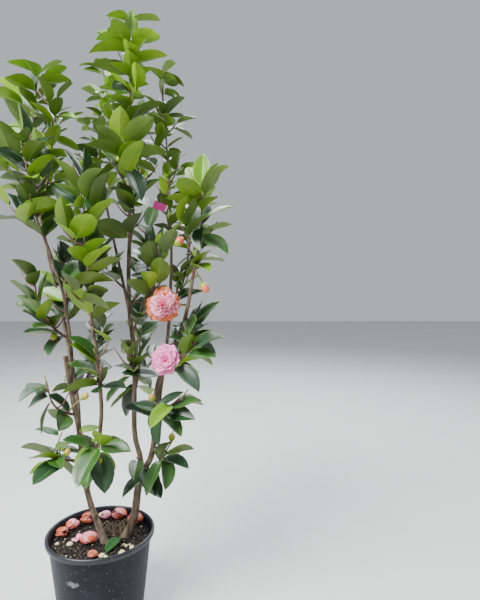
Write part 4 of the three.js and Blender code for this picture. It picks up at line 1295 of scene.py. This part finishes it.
def make_limbs(bark, cut_wood):
    """The stems and boughs, with the cut wood at their tips."""
    pieces = []
    for number, limb in enumerate(LIMB_OF.values()):
        steps = max(BARK_FORM["fewest_steps"], round(path_length(limb.path) / BARK_FORM["step"]))
        path = path_of(limb.course, steps)
        if limb.flare:
            path = path[path[:, 2] > SOIL["level"] - BARK_FORM["sunk"]]
        radius = bark_radius(limb, path_length(path), BARK_FORM["first_seed"] + number)
        skin = Skin()
        tube(skin, path, radius, BARK_FORM["sides"], tip_index=CUT_FACE)
        piece = skin.piece(f"bark_{limb.name}", [bark, cut_wood])
        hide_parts(limb.name)
        pieces.append(piece)
    return pieces


def pointed_bud(skin, path, length, radius):
    """A small leaf bud at the end of a twig."""
    ahead = unit(path[-1] - path[-2])
    course = np.array([path[-1] + ahead * length * s for s in TIP_BUD["places"]])
    last = len(TIP_BUD["places"]) - 1
    tube(skin, course, lambda t, angle: radius * TIP_BUD["breadths"][round(t * last)], TWIG_SIDES, GREEN_WOOD)


def make_twigs(brown, green):
    """The stems of the shoots, their twigs, and the stalks of buds and flowers."""
    skin = Skin()

    def twig_radius(t, angle):
        return TWIG["foot"] + (TWIG["tip"] - TWIG["foot"]) * t

    for shoot in SHOOTS:
        stem = shoot.stem
        limb = LIMB_OF[stem.on]
        at_tip = np.linalg.norm(stem.path[0] - limb.path[-1]) < SHOOT_FORM["near"]
        foot = limb.radii[1] if at_tip else min(STEM["foot"], limb.radii[1])
        path = path_of(stem.course, SHOOT_FORM["steps"])
        length = path_length(path)

        def stem_radius(t, angle):
            off_joint = (t * length) % SHOOT_FORM["joints"] - SHOOT_FORM["joints"] / 2
            swell = SHOOT_FORM["swell"] * math.exp(-(off_joint / SHOOT_FORM["joint_length"]) ** 2)
            round_it, along_it = SHOOT_FORM["unevenness"]
            uneven = SHOOT_FORM["uneven"] * math.sin(round_it * angle + along_it * t)
            return (foot + (TWIG["tip"] - foot) * t) * (1 + swell + uneven)

        tube(skin, path, stem_radius, SHOOT_FORM["sides"], BROWN_WOOD)
        pointed_bud(skin, path, **TIP_BUD["stem"])
        wood = GREEN_WOOD if stem.youth > SHOOT_FORM["green_from"] else BROWN_WOOD
        for twig in shoot.twigs:
            fine = path_of(twig, SHOOT_FORM["twig_steps"])
            tube(skin, fine, twig_radius, TWIG_SIDES, wood)
            pointed_bud(skin, fine, **TIP_BUD["twig"])
    for on, at, centre in BUDS:
        root, centre = along(STEMS[on].path, at), np.array(centre, float)
        middle = (root + centre) / 2 + UP * BUD_STALK["arch"]
        path = path_of([root, middle, centre], BUD_STALK["steps"])
        tube(skin, path, lambda t, angle: BUD_STALK["radius"], TWIG_SIDES, GREEN_WOOD)
    for bloom in BLOOMS:
        root = along(STEMS[bloom["on"]].path, bloom["at"])
        facing = unit(np.array(bloom["facing"], float))
        back = np.array(bloom["centre"], float) - facing * bloom["radius"] * BLOOM_STALK["back"]
        path = path_of([root, (root + back) / 2 - UP * BLOOM_STALK["sag"], back], BLOOM_STALK["steps"])
        tube(skin, path, lambda t, angle: BLOOM_STALK["radius"], TWIG_SIDES, BROWN_WOOD)
    return skin.piece("shoots_and_twigs", [brown, green])


# Flowers: petals set round an axis by the golden angle, wide and laid back outside, small and cupped inside

def closed_sheet(name, rows, columns, place_of, thickness):
    """A closed thin sheet over a grid; place_of takes the share across, -1 to 1, and along, 0 to 1."""
    vertices, spots = [], []
    for i in range(rows + 1):
        for k in range(columns + 1):
            across, ahead = -1 + 2 * k / columns, i / rows
            vertices.append(np.array(place_of(across, ahead)))
            spots.append((0.5 + 0.5 * across, ahead))
    grid = np.arange(len(vertices)).reshape(rows + 1, columns + 1)
    under = grid.copy()
    for i in range(1, rows):
        for k in range(1, columns):
            along_rows = vertices[grid[i + 1, k]] - vertices[grid[i - 1, k]]
            along_columns = vertices[grid[i, k + 1]] - vertices[grid[i, k - 1]]
            normal = np.cross(along_columns, along_rows)
            under[i, k] = len(vertices)
            vertices.append(vertices[grid[i, k]] - normal / max(np.linalg.norm(normal), HAIR) * thickness)
            spots.append(spots[grid[i, k]])
    faces = []
    for i in range(rows):
        for k in range(columns):
            upper = [grid[i, k], grid[i, k + 1], grid[i + 1, k + 1], grid[i + 1, k]]
            lower = [under[i, k], under[i + 1, k], under[i + 1, k + 1], under[i, k + 1]]
            faces += [[int(v) for v in upper], [int(v) for v in lower]]
    sheet = mesh_piece(name, vertices, faces, [])
    give_map(sheet.data, spots)
    return sheet


def eased_to(share, full):
    """A share that rises smoothly from 0 and stays at 1 from a full share on."""
    return math.sin(math.pi / 2 * min(share / full, 1))


def petal_form(name, width, cup, curl, ruffle, notch):
    """A unit petal from its root at the origin along +Y, its inner face up."""
    form = PETAL_FORM

    def place(across, ahead):
        half = 0.5 * width * (form["root"] + form["swell"] * eased_to(ahead, form["widest"]))
        round_end = form["end"] * (1 - math.sqrt(1 - form["roundness"] * across**2))
        often, phase = form["scallops"]
        scallop = form["scallop"] * math.cos(often * across + phase) * ahead ** form["scallop_power"]
        dent = notch * math.exp(-((across / form["notch_width"]) ** 2)) * ahead ** form["notch_power"]
        ruffles = sum(size * math.sin(often * across + phase) for size, often, phase in form["ruffles"])
        wave = ruffle * ahead**2 * ruffles
        rise = cup * across**2 * width + curl * ahead**2 + wave
        return across * half, ahead * (1 - round_end) - dent + scallop, rise

    return closed_sheet(name, form["rows"], form["columns"], place, form["thickness"])


def shell_form(name, spread, flare):
    """A unit petal that wraps a ball about the origin from its foot up past its middle."""
    form = SHELL_FORM

    def place(across, ahead):
        rise = form["foot"] + form["wrap"] * ahead * (1 - form["round_end"] * across**2)
        turn = across * spread * (form["root"] + form["swell"] * eased_to(ahead, form["widest"]))
        round_it, along_it = form["crinkles"]
        crinkle = form["crinkle"] * math.sin(round_it * across + along_it * ahead) * ahead
        reach = 1 + flare * ahead ** form["flare_power"] + crinkle
        level = reach * math.sin(rise)
        return level * math.sin(turn), level * math.cos(turn), -reach * math.cos(rise)

    return closed_sheet(name, form["rows"], form["columns"], place, -form["thickness"])


def rosette_tree():
    """Petals on a line of points, each turned by the golden angle and tilted and sized by its number."""
    tree, feed = new_tree(
        "rosette", "GeometryNodeTree",
        {"Geometry": "Geometry", "Petals": 30, "Outer Size": 0.04, "Inner Size": 0.012, "Outer Tilt": 0.1,
         "Inner Tilt": 1.35, "Height": 0.008, "Unevenness": 0.2, "Seed": 1, "Crowding": 1.0,
         "Outer Petals": 0.35, "Inside": "Material", "Edge": "Material"},
        {"Geometry": "Geometry"},
    )
    calc = maths(tree)

    def mixed(share, start, end):
        return add_node(tree, "ShaderNodeMix", {0: share, 2: start, 3: end}, data_type="FLOAT").outputs[0]

    def chance(low, high, offset):
        seed = calc("ADD", feed["Seed"], offset)
        made = add_node(tree, "FunctionNodeRandomValue", {2: low, 3: high, "Seed": seed}, data_type="FLOAT")
        return made.outputs[1]

    def vector(x, y, z):
        return add_node(tree, "ShaderNodeCombineXYZ", {"X": x, "Y": y, "Z": z}).outputs[0]

    index = add_node(tree, "GeometryNodeInputIndex").outputs[0]
    share = calc("DIVIDE", index, calc("SUBTRACT", feed["Petals"], 1))
    eased = calc("POWER", share, feed["Crowding"])
    swing = calc("MULTIPLY", feed["Unevenness"], chance(low=-1.0, high=1.0, offset=5))
    turn = calc("ADD", calc("MULTIPLY", index, GOLDEN_ANGLE), swing)
    droop = calc("MULTIPLY", feed["Unevenness"], chance(low=-0.7, high=0.7, offset=9))
    tilt = calc("ADD", mixed(eased, feed["Outer Tilt"], feed["Inner Tilt"]), droop)
    plain_size = mixed(eased, feed["Outer Size"], feed["Inner Size"])
    size = calc("MULTIPLY", plain_size, chance(low=0.9, high=1.1, offset=13))
    line = add_node(tree, "GeometryNodeMeshLine", {"Count": feed["Petals"], "Offset": (0, 0, 0)})
    raised = add_node(tree, "GeometryNodeSetPosition", {
        "Geometry": line.outputs[0], "Offset": vector(0, 0, calc("MULTIPLY", eased, feed["Height"]))})
    placed = add_node(tree, "GeometryNodeInstanceOnPoints", {
        "Points": raised.outputs[0], "Instance": feed["Geometry"], "Rotation": vector(tilt, 0, turn),
        "Scale": vector(size, size, size)})
    stored = add_node(tree, "GeometryNodeStoreNamedAttribute", {
        "Geometry": placed.outputs[0], "Name": "depth", "Value": share}, data_type="FLOAT", domain="INSTANCE")
    shape = add_node(tree, "GeometryNodeRealizeInstances", {0: stored.outputs[0]}).outputs[0]
    outer = add_node(tree, "FunctionNodeCompare", {
        0: named_attribute(tree, "depth", "FLOAT"), 1: feed["Outer Petals"],
    }, data_type="FLOAT", operation="LESS_THAN")
    shape = add_node(tree, "GeometryNodeSetMaterial", {
        "Geometry": shape, "Material": feed["Inside"]}).outputs[0]
    shape = add_node(tree, "GeometryNodeSetMaterial", {
        "Geometry": shape, "Selection": outer.outputs[0], "Material": feed["Edge"]}).outputs[0]
    add_node(tree, "NodeGroupOutput", {0: shape})
    return tree


ROSETTE = rosette_tree()


def rosette(name, form, centre, facing, values, flat=1.0):
    """A flower grown about the origin, then turned to face its way and put in its place."""
    piece = grown_from(name, form, ROSETTE, values)
    turn = Vector(facing).normalized().to_track_quat("Z", "Y").to_matrix().to_4x4()
    spot = Matrix.Translation(Vector(centre) * MM)
    piece.data.transform(spot @ Matrix.Diagonal((1, 1, flat, 1)) @ turn)
    return piece


def make_blooms(tints):
    """The two open flowers, each with its finish inside and at its edge."""
    pieces = []
    for bloom in BLOOMS:
        name = bloom["name"]
        inside, edge = tints[name]
        form = petal_form(f"{name}_petal", **BLOOM_PETALS[name])
        values = BLOOM_GROWTH[name] | {"Inside": inside, "Edge": edge}
        pieces.append(rosette(name, form, bloom["centre"], bloom["facing"], values))
    return pieces


def make_fallen(finishes):
    """The dropped flowers: balls of overlapped petals lying any way up, and two loose petals lying flat."""
    pieces = []
    for number, (x, y, radius, height, inside, edge) in enumerate(FALLEN):
        draw = seeded(FALLEN_FORM["first_seed"] + number)
        turn = 2 * math.pi * draw()
        loose = height < FALLEN_FORM["loose_below"]
        kind = FALLEN_FORM["loose" if loose else "ball"]
        if loose:
            form = petal_form(f"loose_petal_{number}", **kind["petal"])
            place, lean, flat = (x, y, SOIL["level"] + kind["lift"]), (0, 0, 1), kind["flat"]
        else:
            form = shell_form(f"shell_petal_{number}", **kind["petal"])
            place = (x, y, SOIL["level"] + height / 2)
            lean = (math.cos(turn), math.sin(turn), by_chance(FALLEN_FORM["lean"], draw))
            flat = height / (2 * radius) * kind["flat"]
        outer, inner = (radius * MM * share for share in kind["sizes"])
        values = FALLEN_FORM["growth"] | kind["growth"] | {
            "Outer Size": outer, "Inner Size": inner, "Seed": FALLEN_FORM["petal_seed"] + number,
            "Inside": finishes[inside], "Edge": finishes[edge]}
        piece = rosette(f"dropped_bloom_{number + 1}", form, place, lean, values, flat)
        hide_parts(f"fallen_bloom_{number + 1}")
        pieces.append(piece)
    return pieces


def add_bud(skin, centre, axis, length, radius, opening):
    """A plump flower bud of overlapping scales; an opening one shows its petals above them."""
    form = BUD_FORM
    rows, sides = form["rows"], form["sides"]
    path = np.array([centre + axis * length * (i / rows - 0.5) for i in range(rows + 1)])

    def reach(t, angle):
        plump = math.sin(math.pi * (form["foot"] + form["run"] * t)) ** form["plump"]
        scale_run = form["scales"] * t + 0.5 * (math.floor(form["half_ring"] * angle / math.pi + 0.5) % 2)
        return radius * plump * (1 - form["overlap"] * (scale_run % 1.0 - 0.5))

    start = len(skin.faces)
    tube(skin, path, reach, sides)
    petals_from = round(rows * (form["petals"] if opening else form["blush"]))
    for face in range(start + petals_from * sides, start + rows * sides):
        skin.indices[face] = ORANGE_FACE if opening else BLUSH_FACE


def make_buds(green, blush, orange):
    skin = Skin()
    for number, (on, at, centre) in enumerate(BUDS):
        centre = np.array(centre, float)
        axis = unit(centre - along(STEMS[on].path, at) + UP * BUD["lift"])
        opening = number in OPENING_BUDS
        longer, wider = BUD_FORM["opening_size" if opening else "closed_size"]
        add_bud(skin, centre, axis, BUD["length"] * longer, BUD["radius"] * wider, opening)
    return skin.piece("buds", [green, blush, orange])


# Pot, soil, label and floor

def lathe(skin, profile, sides):
    """A closed surface of revolution; a profile point on the axis is one vertex."""
    rings, vertices = [], []
    for radius, z in profile:
        start = len(vertices)
        vertices += circle(radius, sides, z) if radius else [(0, 0, z)]
        rings.append(list(range(start, len(vertices))) if radius else [start] * sides)
    faces = []
    for low, high in zip(rings, rings[1:]):
        for face in band(low, high):
            corners = tuple(dict.fromkeys(face))
            if len(corners) > 2:
                faces.append(corners)
    skin.add(vertices, faces)


def inner_radius(z):
    """The radius of the pot's inside at a height."""
    bead_foot = POT["height"] - POT["bead"]
    low, high = POT["foot"] - POT["wall"], POT["body_top"] - POT["wall"]
    return low + (high - low) * (z - POT["floor"]) / (bead_foot - POT["floor"])


def arc(radius, z, bend, angles):
    """Points of a profile round a bend, whose middle lies at a radius and a height."""
    return [(radius + bend * math.cos(a), z + bend * math.sin(a)) for a in angles]


def pot_profile():
    """The pot's outline from the middle of its underside out, up, over its rolled rim and back in."""
    form = POT_FORM
    top, foot, body_top, floor = POT["height"], POT["foot"], POT["body_top"], POT["floor"]
    bead_foot = top - POT["bead"]
    lower, upper = form["lower_bend"], form["upper_bend"]
    corner, corner_inset = form["corner"]
    return [
        (0, 0), *((foot - inset, z) for inset, z in form["foot"]),
        *((foot + (body_top - foot) * z / bead_foot, z) for z in form["body"]),
        *((body_top + out, bead_foot + up) for out, up in form["under_rim"]),
        *arc(POT["rim"] - lower, bead_foot + lower, lower, form["lower_turns"]),
        *arc(POT["rim"] - upper, top - upper, upper, form["upper_turns"]),
        *((body_top + out, top - down) for out, down in form["over_rim"]),
        (inner_radius(bead_foot), bead_foot - form["lip"]),
        *((inner_radius(z), z) for z in form["inside"]), (inner_radius(corner) - corner_inset, floor),
        (0, floor),
    ]


def make_pot(plastic, worn_plastic):
    """The pot with its rolled rim, its rounded foot and the holes that drain it."""
    skin = Skin()
    lathe(skin, pot_profile(), POT_FORM["sides"])
    rim_foot = (POT["height"] - POT["bead"]) * MM
    skin.indices = [int(min(skin.vertices[i][2] for i in face) >= rim_foot) for face in skin.faces]
    pot = skin.piece("pot_shell", [plastic, worn_plastic])
    cutters = []
    for i in range(DRAIN["count"]):
        angle = 2 * math.pi * (i + DRAIN["turn"]) / DRAIN["count"]
        ahead = heading(angle, 0)
        middle = ahead * POT["foot"] + UP * DRAIN["height"]
        half = ahead * DRAIN["depth"] / 2
        cutter = Skin()
        path = np.array([middle - half, middle, middle + half])
        tube(cutter, path, lambda t, angle: DRAIN["radius"], POT_FORM["drain_sides"])
        cutters.append(cutter.piece(f"drain_{i}", []))
        cut = pot.modifiers.new(f"drain_{i}", "BOOLEAN")
        cut.operation, cut.solver, cut.object = "DIFFERENCE", "EXACT", cutters[-1]
    mesh = modified_mesh(pot)
    pot.modifiers.clear()
    pot.data = mesh
    for cutter in cutters:
        bpy.data.objects.remove(cutter)
    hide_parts("pot")
    return pot


def soil_height(x, y, waves):
    """The soil's height: bumpy, and lower towards the pot's wall."""
    bumps = sum(size * math.sin(x * fx + y * fy + phase) for fx, fy, phase, size in waves)
    flat = SOIL["flat_radius"]
    slope = max(0, math.hypot(x, y) - flat) / (SOIL_FORM["edge"] - flat)
    return SOIL["level"] - SOIL_FORM["lower"] + bumps - SOIL["edge_drop"] * slope


def make_soil(mix):
    """The potting mix: a rough top and plain sides down to the pot's floor."""
    draw = seeded(SOIL_FORM["seed"])
    waves = [
        ((draw() - 0.5) * often, (draw() - 0.5) * often, RANDOM_TURN * draw(), size)
        for often, size in SOIL_FORM["waves"]
    ]
    rings, sides = SOIL_FORM["rings"], SOIL_FORM["sides"]
    top_radius = inner_radius(SOIL["level"]) - SOIL_FORM["clear"]
    vertices = [(0, 0, soil_height(0, 0, waves))]
    for i in range(1, rings + 1):
        for x, y, _ in circle(top_radius * i / rings, sides, 0):
            vertices.append((x, y, soil_height(x, y, waves) + SOIL_FORM["rough"] * (draw() - 0.5)))
    for z in (SOIL_FORM["waist"], POT["floor"] + SOIL_FORM["clear"]):
        vertices += circle(inner_radius(z) - SOIL_FORM["clear"], sides, z)
    starts = [1 + i * sides for i in range(rings + 2)]
    faces = [(0, 1 + k, 1 + (k + 1) % sides) for k in range(sides)]
    for a, b in zip(starts, starts[1:]):
        faces += turned_over(band(range(a, a + sides), range(b, b + sides)))
    faces.append(tuple(range(starts[-1], starts[-1] + sides))[::-1])
    skin = Skin()
    skin.add(vertices, faces)
    soil = skin.piece("soil_mix", [mix])
    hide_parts("soil")
    return soil


def chips_tree():
    """Chips strewn over a surface, no two nearer than they may be, turned and sized at random."""
    tree, feed = new_tree(
        "strewn_chips", "GeometryNodeTree",
        {"Geometry": "Geometry", "Chip": "Object", "Apart": 0.006, "Density": 20000.0, "Smallest": 0.6,
         "Largest": 1.4, "Seed": 1, "Finish": "Material"},
        {"Geometry": "Geometry"},
    )
    chip = add_node(tree, "GeometryNodeObjectInfo", {"Object": feed["Chip"]})
    points = add_node(tree, "GeometryNodeDistributePointsOnFaces", {
        "Mesh": feed["Geometry"], "Distance Min": feed["Apart"], "Density Max": feed["Density"],
        "Seed": feed["Seed"]}, distribute_method="POISSON")
    spin = add_node(tree, "FunctionNodeRandomValue", {
        0: LITTER_BED["least_turn"], 1: LITTER_BED["most_turn"], "Seed": feed["Seed"],
    }, data_type="FLOAT_VECTOR")
    size = add_node(tree, "FunctionNodeRandomValue", {
        2: feed["Smallest"], 3: feed["Largest"], "Seed": feed["Seed"]}, data_type="FLOAT")
    placed = add_node(tree, "GeometryNodeInstanceOnPoints", {
        "Points": points.outputs[0], "Instance": chip.outputs["Geometry"], "Rotation": spin.outputs[0],
        "Scale": size.outputs[1]})
    real = add_node(tree, "GeometryNodeRealizeInstances", {0: placed.outputs[0]})
    done = add_node(tree, "GeometryNodeSetMaterial", {
        "Geometry": real.outputs[0], "Material": feed["Finish"]})
    add_node(tree, "NodeGroupOutput", {0: done.outputs[0]})
    return tree


def uneven_lump(size, flat, seed):
    """The vertices and faces of a lump a few faces big, centred on the origin, in the unit of its size."""
    draw = seeded(seed)
    sides, rings = LUMP_FORM["sides"], LUMP_FORM["rings"]
    reach = LUMP_FORM["reach"]
    vertices = []
    for share, z in rings:
        angles = [2 * math.pi * (k + LUMP_FORM["skew"] * draw()) / sides for k in range(sides)]
        for angle in angles:
            x = share * by_chance(reach, draw) * math.cos(angle)
            y = share * by_chance(reach, draw) * math.sin(angle)
            vertices.append(np.array([x, y, z * flat]) * size)
    return vertices, end_faces(len(rings), sides) + bands(len(rings), sides)


def make_litter(finishes):
    """Bark chips, crumbs and pale bits strewn over the soil."""
    tree = chips_tree()
    rings, sides = LITTER_BED["rings"], LITTER_BED["sides"]
    bed = Skin()
    height = SOIL["level"] + LITTER_BED["lift"]
    reaches = [LITTER_BED["radius"] * (i + LITTER_BED["hole"]) / (rings - 1) for i in range(rings)]
    vertices = [point for reach in reaches for point in circle(reach, sides, height)]
    bed.add(vertices, turned_over(bands(rings, sides)))
    pieces = []
    for name, made, size, flat, apart, density, largest, seed in LITTER:
        vertices, faces = uneven_lump(size, flat, seed)
        chip = mesh_piece(f"{name}_form", vertices, faces, [], smooth=False)
        piece = grown_from(name, bed.piece(f"{name}_ground", []), tree, {
            "Chip": chip, "Apart": apart, "Density": density, "Smallest": LITTER_BED["smallest"],
            "Largest": largest, "Seed": seed, "Finish": finishes[made]})
        bpy.data.objects.remove(chip)
        pieces.append(piece)
    return pieces


def make_lumps(pale):
    """The larger cream lumps of fertiliser and pumice that lie on the soil."""
    skin = Skin()
    for number, (x, y, size) in enumerate(LUMPS):
        vertices, faces = uneven_lump(size, LUMP_FORM["flat"], LUMP_FORM["first_seed"] + number)
        place = np.array([x, y, SOIL["level"] + size * LUMP_FORM["lift"]])
        skin.add([vertex + place for vertex in vertices], faces)
    piece = skin.piece("cream_lumps", [pale])
    return piece


def make_roots(dry):
    """Fine dry roots and bits of twig that lie between the two stems."""
    skin = Skin()
    draw = seeded(ROOTS["seed"])
    for _ in range(ROOTS["count"]):
        x, y = [middle + spread * (draw() - 0.5) for middle, spread in ROOTS["bed"]]
        ahead, size = heading(RANDOM_TURN * draw(), 0), by_chance(ROOTS["length"], draw)
        start = np.array([x, y, SOIL["level"] - 1])
        middle = start + ahead * size * 0.5 + UP * by_chance(ROOTS["arch"], draw)
        end = start + ahead * size + UP * (2 * draw() - 1)
        radius = by_chance(ROOTS["radius"], draw)
        tube(skin, path_of([start, middle, end], ROOTS["steps"]), lambda t, angle: radius, ROOTS["sides"])
    piece = skin.piece("fine_roots", [dry])
    return piece


def label_line():
    """The label's course round the leader and out, and how far along the strip each point is."""
    form = LABEL_FORM
    loop, length = LABEL["loop"], LABEL["length"]
    line, marks = [], []
    for k in range(form["loop_steps"]):
        angle = form["gap"] + (2 * math.pi - 2 * form["gap"]) * k / (form["loop_steps"] - 1)
        line.append((loop * math.cos(angle), loop * math.sin(angle), 0))
        marks.append(0)
    for k in range(form["steps"] + 1):
        s = k / form["steps"]
        run = loop + (length - loop) * s
        bend = form["bend"] * math.sin(form["bend_turn"] * s)
        line.append((run, bend, -form["sag"] * math.sin(math.pi * s)))
        marks.append(run / length)
    return line, marks


def make_label(white, pink):
    """A bare strip looped round the leader: white, with a pink band and a white tip."""
    form = LABEL_FORM
    line, marks = label_line()
    slope, swing = math.radians(LABEL["slope"]), -math.radians(LABEL["swing"])
    turn = np.array(Matrix.Rotation(swing, 3, "Z") @ Matrix.Rotation(slope, 3, "Y"))
    thick = form["half_thickness"]
    vertices = []
    for number, (x, y, z) in enumerate(line):
        before, after = np.array(line[max(number - 1, 0)]), np.array(line[min(number + 1, len(line) - 1)])
        ahead = after - before
        normal = np.array([-ahead[1], ahead[0], 0]) / max(math.hypot(ahead[0], ahead[1]), HAIR)
        tall = LABEL["width"] / 2 * (1 if marks[number] < form["tip_from"] else form["tip_width"])
        for side, rise in ((thick, tall), (-thick, tall), (-thick, -tall), (thick, -tall)):
            local = np.array([x, y, z + rise]) + normal * side
            vertices.append(turn @ local + np.array(LABEL["place"], float))
    sides = len(vertices) // len(line)
    middles = [(before + after) / 2 for before, after in zip(marks, marks[1:])]
    low, high = form["pink"]
    indices = [int(low < middle < high) for middle in middles for _ in range(sides)]
    ends = end_faces(len(line), sides)
    skin = Skin()
    skin.add(vertices, bands(len(line), sides) + ends)
    skin.indices = indices + [0] * len(ends)
    piece = skin.piece("bare_label", [white, pink], smooth=False)
    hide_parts("plant_label")
    return piece


def make_floor():
    half = FLOOR_HALF
    made = finish("pale_floor", (0.62, 0.61, 0.60), (0.60, 0.59, 0.58), roughness=0.8, scale=3, bump=0.0)
    corners = [(-half, -half, 0), (half, -half, 0), (half, half, 0), (-half, half, 0)]
    floor = mesh_piece("floor", corners, [(0, 1, 2, 3)], [made])


# Finishes

BARK = finish("bark_brown", (0.225, 0.165, 0.108), (0.058, 0.037, 0.024), roughness=0.85, scale=85, fine=420,
              stretch=0.3, bump=0.8, depth=0.0016)
CUT_WOOD = finish("cut_wood", (0.50, 0.40, 0.28), (0.36, 0.27, 0.18), roughness=0.8, scale=120)
SHOOT_BROWN = finish("shoot_brown", (0.20, 0.105, 0.070), (0.11, 0.055, 0.038), roughness=0.6, scale=90,
                     stretch=0.4, bump=0.3)
SHOOT_GREEN = finish("shoot_green", (0.26, 0.27, 0.08), (0.20, 0.14, 0.06), roughness=0.55, scale=60)
POT_PLASTIC = pot_finish("pot_plastic", roughness=0.46, gloss=0.16)
RIM_PLASTIC = pot_finish("rim_plastic", roughness=0.36, gloss=0.5)
SOIL_MIX = finish("soil_mix", (0.024, 0.016, 0.011), (0.008, 0.006, 0.004), roughness=0.95, scale=90,
                  fine=700, bump=0.9, depth=0.003)
LITTER_FINISHES = {
    "chip": finish("bark_chip", (0.055, 0.036, 0.024), (0.014, 0.009, 0.007), roughness=0.9, scale=120,
                   bump=0.4),
    "crumb": finish("soil_crumb", (0.028, 0.019, 0.013), (0.009, 0.006, 0.005), roughness=0.95, scale=160,
                    bump=0.4),
    "pale": finish("pale_bit", (0.50, 0.42, 0.28), (0.26, 0.20, 0.12), roughness=0.85, scale=150, bump=0.4),
}
CREAM = finish("cream_lump", (0.80, 0.74, 0.42), (0.62, 0.54, 0.26), roughness=0.85, scale=150, bump=0.4)
ROOT = finish("dry_root", (0.22, 0.155, 0.10), (0.10, 0.068, 0.042), roughness=0.9, scale=150)
PETALS = {
    kind: petal_finish(f"petal_{kind}", middle, edge, start, end, blotch)
    for kind, middle, edge, start, end, blotch in (
        ("fresh", (0.90, 0.12, 0.36), (0.95, 0.27, 0.55), 0.1, 0.9, 0.2),
        ("old", (0.88, 0.12, 0.28), (0.95, 0.36, 0.50), 0.2, 0.9, 0.3),
        ("old_edge", (0.94, 0.34, 0.38), (0.78, 0.19, 0.05), 0.5, 0.9, 0.8),
        ("blotched", (0.56, 0.10, 0.02), (0.95, 0.30, 0.42), 0.5, 0.8, 0.9),
        ("rusty", (0.36, 0.075, 0.025), (0.70, 0.20, 0.12), 0.6, 1.0, 0.9),
        ("fallen_pink", (0.74, 0.16, 0.08), (0.95, 0.36, 0.52), 0.15, 0.6, 0.9),
    )
}
BUD_GREEN = finish("bud_green", (0.44, 0.52, 0.03), (0.32, 0.41, 0.02), roughness=0.42, scale=160)
BUD_BLUSH = finish("bud_blush", (0.72, 0.58, 0.06), (0.72, 0.30, 0.16), roughness=0.42, scale=120)
BUD_ORANGE = finish("bud_orange", (0.88, 0.24, 0.12), (0.74, 0.10, 0.05), roughness=0.45, scale=110)
LABEL_WHITE = finish("label_white", (0.97, 0.96, 0.97), (0.94, 0.93, 0.94), roughness=0.45, scale=60,
                     bump=0.02)
LABEL_PINK = finish("label_pink", (0.98, 0.08, 0.46), (0.95, 0.07, 0.42), roughness=0.45, scale=60, bump=0.02)
DROPPED_BLADE = leaf_finish("leaf_dropped_blade", (0.020, 0.088, 0.016), (0.010, 0.052, 0.010),
                            roughness=0.62, relief=0.35, shader_values={"Specular IOR Level": 0.12})
LEAF_FINISHES = {kind: leaf_finishes(kind) for kind in LEAF_TONES}


# All the pieces, and the body that they ride on

mass_nodes = [f"foliage_{name}" for name in STEMS]
foliage_pieces = [
    *make_leaves(LEAF_FINISHES),
    make_twigs(SHOOT_BROWN, SHOOT_GREEN),
    make_buds(BUD_GREEN, BUD_BLUSH, BUD_ORANGE),
    *make_blooms({
        "pink_bloom": (PETALS["fresh"], PETALS["fresh"]), "old_bloom": (PETALS["old"], PETALS["old_edge"])}),
]
for piece in foliage_pieces:
    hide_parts(*mass_nodes)
other_pieces = [
    make_soil(SOIL_MIX),
    *make_limbs(BARK, CUT_WOOD),
    *make_fallen(PETALS),
    make_pot(POT_PLASTIC, RIM_PLASTIC),
    *make_litter(LITTER_FINISHES),
    make_lumps(CREAM),
    make_roots(ROOT),
    make_label(LABEL_WHITE, LABEL_PINK),
    make_fallen_leaf([DROPPED_BLADE, *LEAF_FINISHES["old"][1:]]),
]
for piece in foliage_pieces + other_pieces:
    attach(piece, BODY)
make_floor()


# Light and camera

def area_light(name, place, size, watts, colour):
    light = bpy.data.lights.new(name, "AREA")
    light.shape, light.size, light.energy, light.color = "DISK", size, watts, colour
    lamp = new_object(name, light)
    lamp.location = place
    lamp.rotation_euler = (Vector(LIT_SPOT) - Vector(place)).to_track_quat("-Z", "Y").to_euler()


area_light("sky_soft", (-1.3, -1.5, 3.0), size=2.0, watts=300, colour=(0.97, 0.98, 1.0))
area_light("back_soft", (0.8, 1.9, 3.2), size=3.6, watts=230, colour=(0.92, 0.97, 1.0))
world = bpy.data.worlds.new("studio")
world.use_nodes = True
sky = world.node_tree.nodes["Background"].inputs
sky["Color"].default_value, sky["Strength"].default_value = (0.86, 0.90, 0.95, 1), 0.6
bpy.context.scene.world = world

lens = bpy.data.cameras.new("photo_view")
lens.sensor_width, lens.sensor_fit = SENSOR, "AUTO"
lens.lens = SENSOR * VIEW["focal"] / (2 * VIEW["middle"][1])
camera = new_object("photo_view", lens)
camera.location = Vector(VIEW["place"]) * MM
camera.rotation_euler = (math.pi / 2 - VIEW["pitch"], 0, 0)
bpy.context.scene.camera = camera
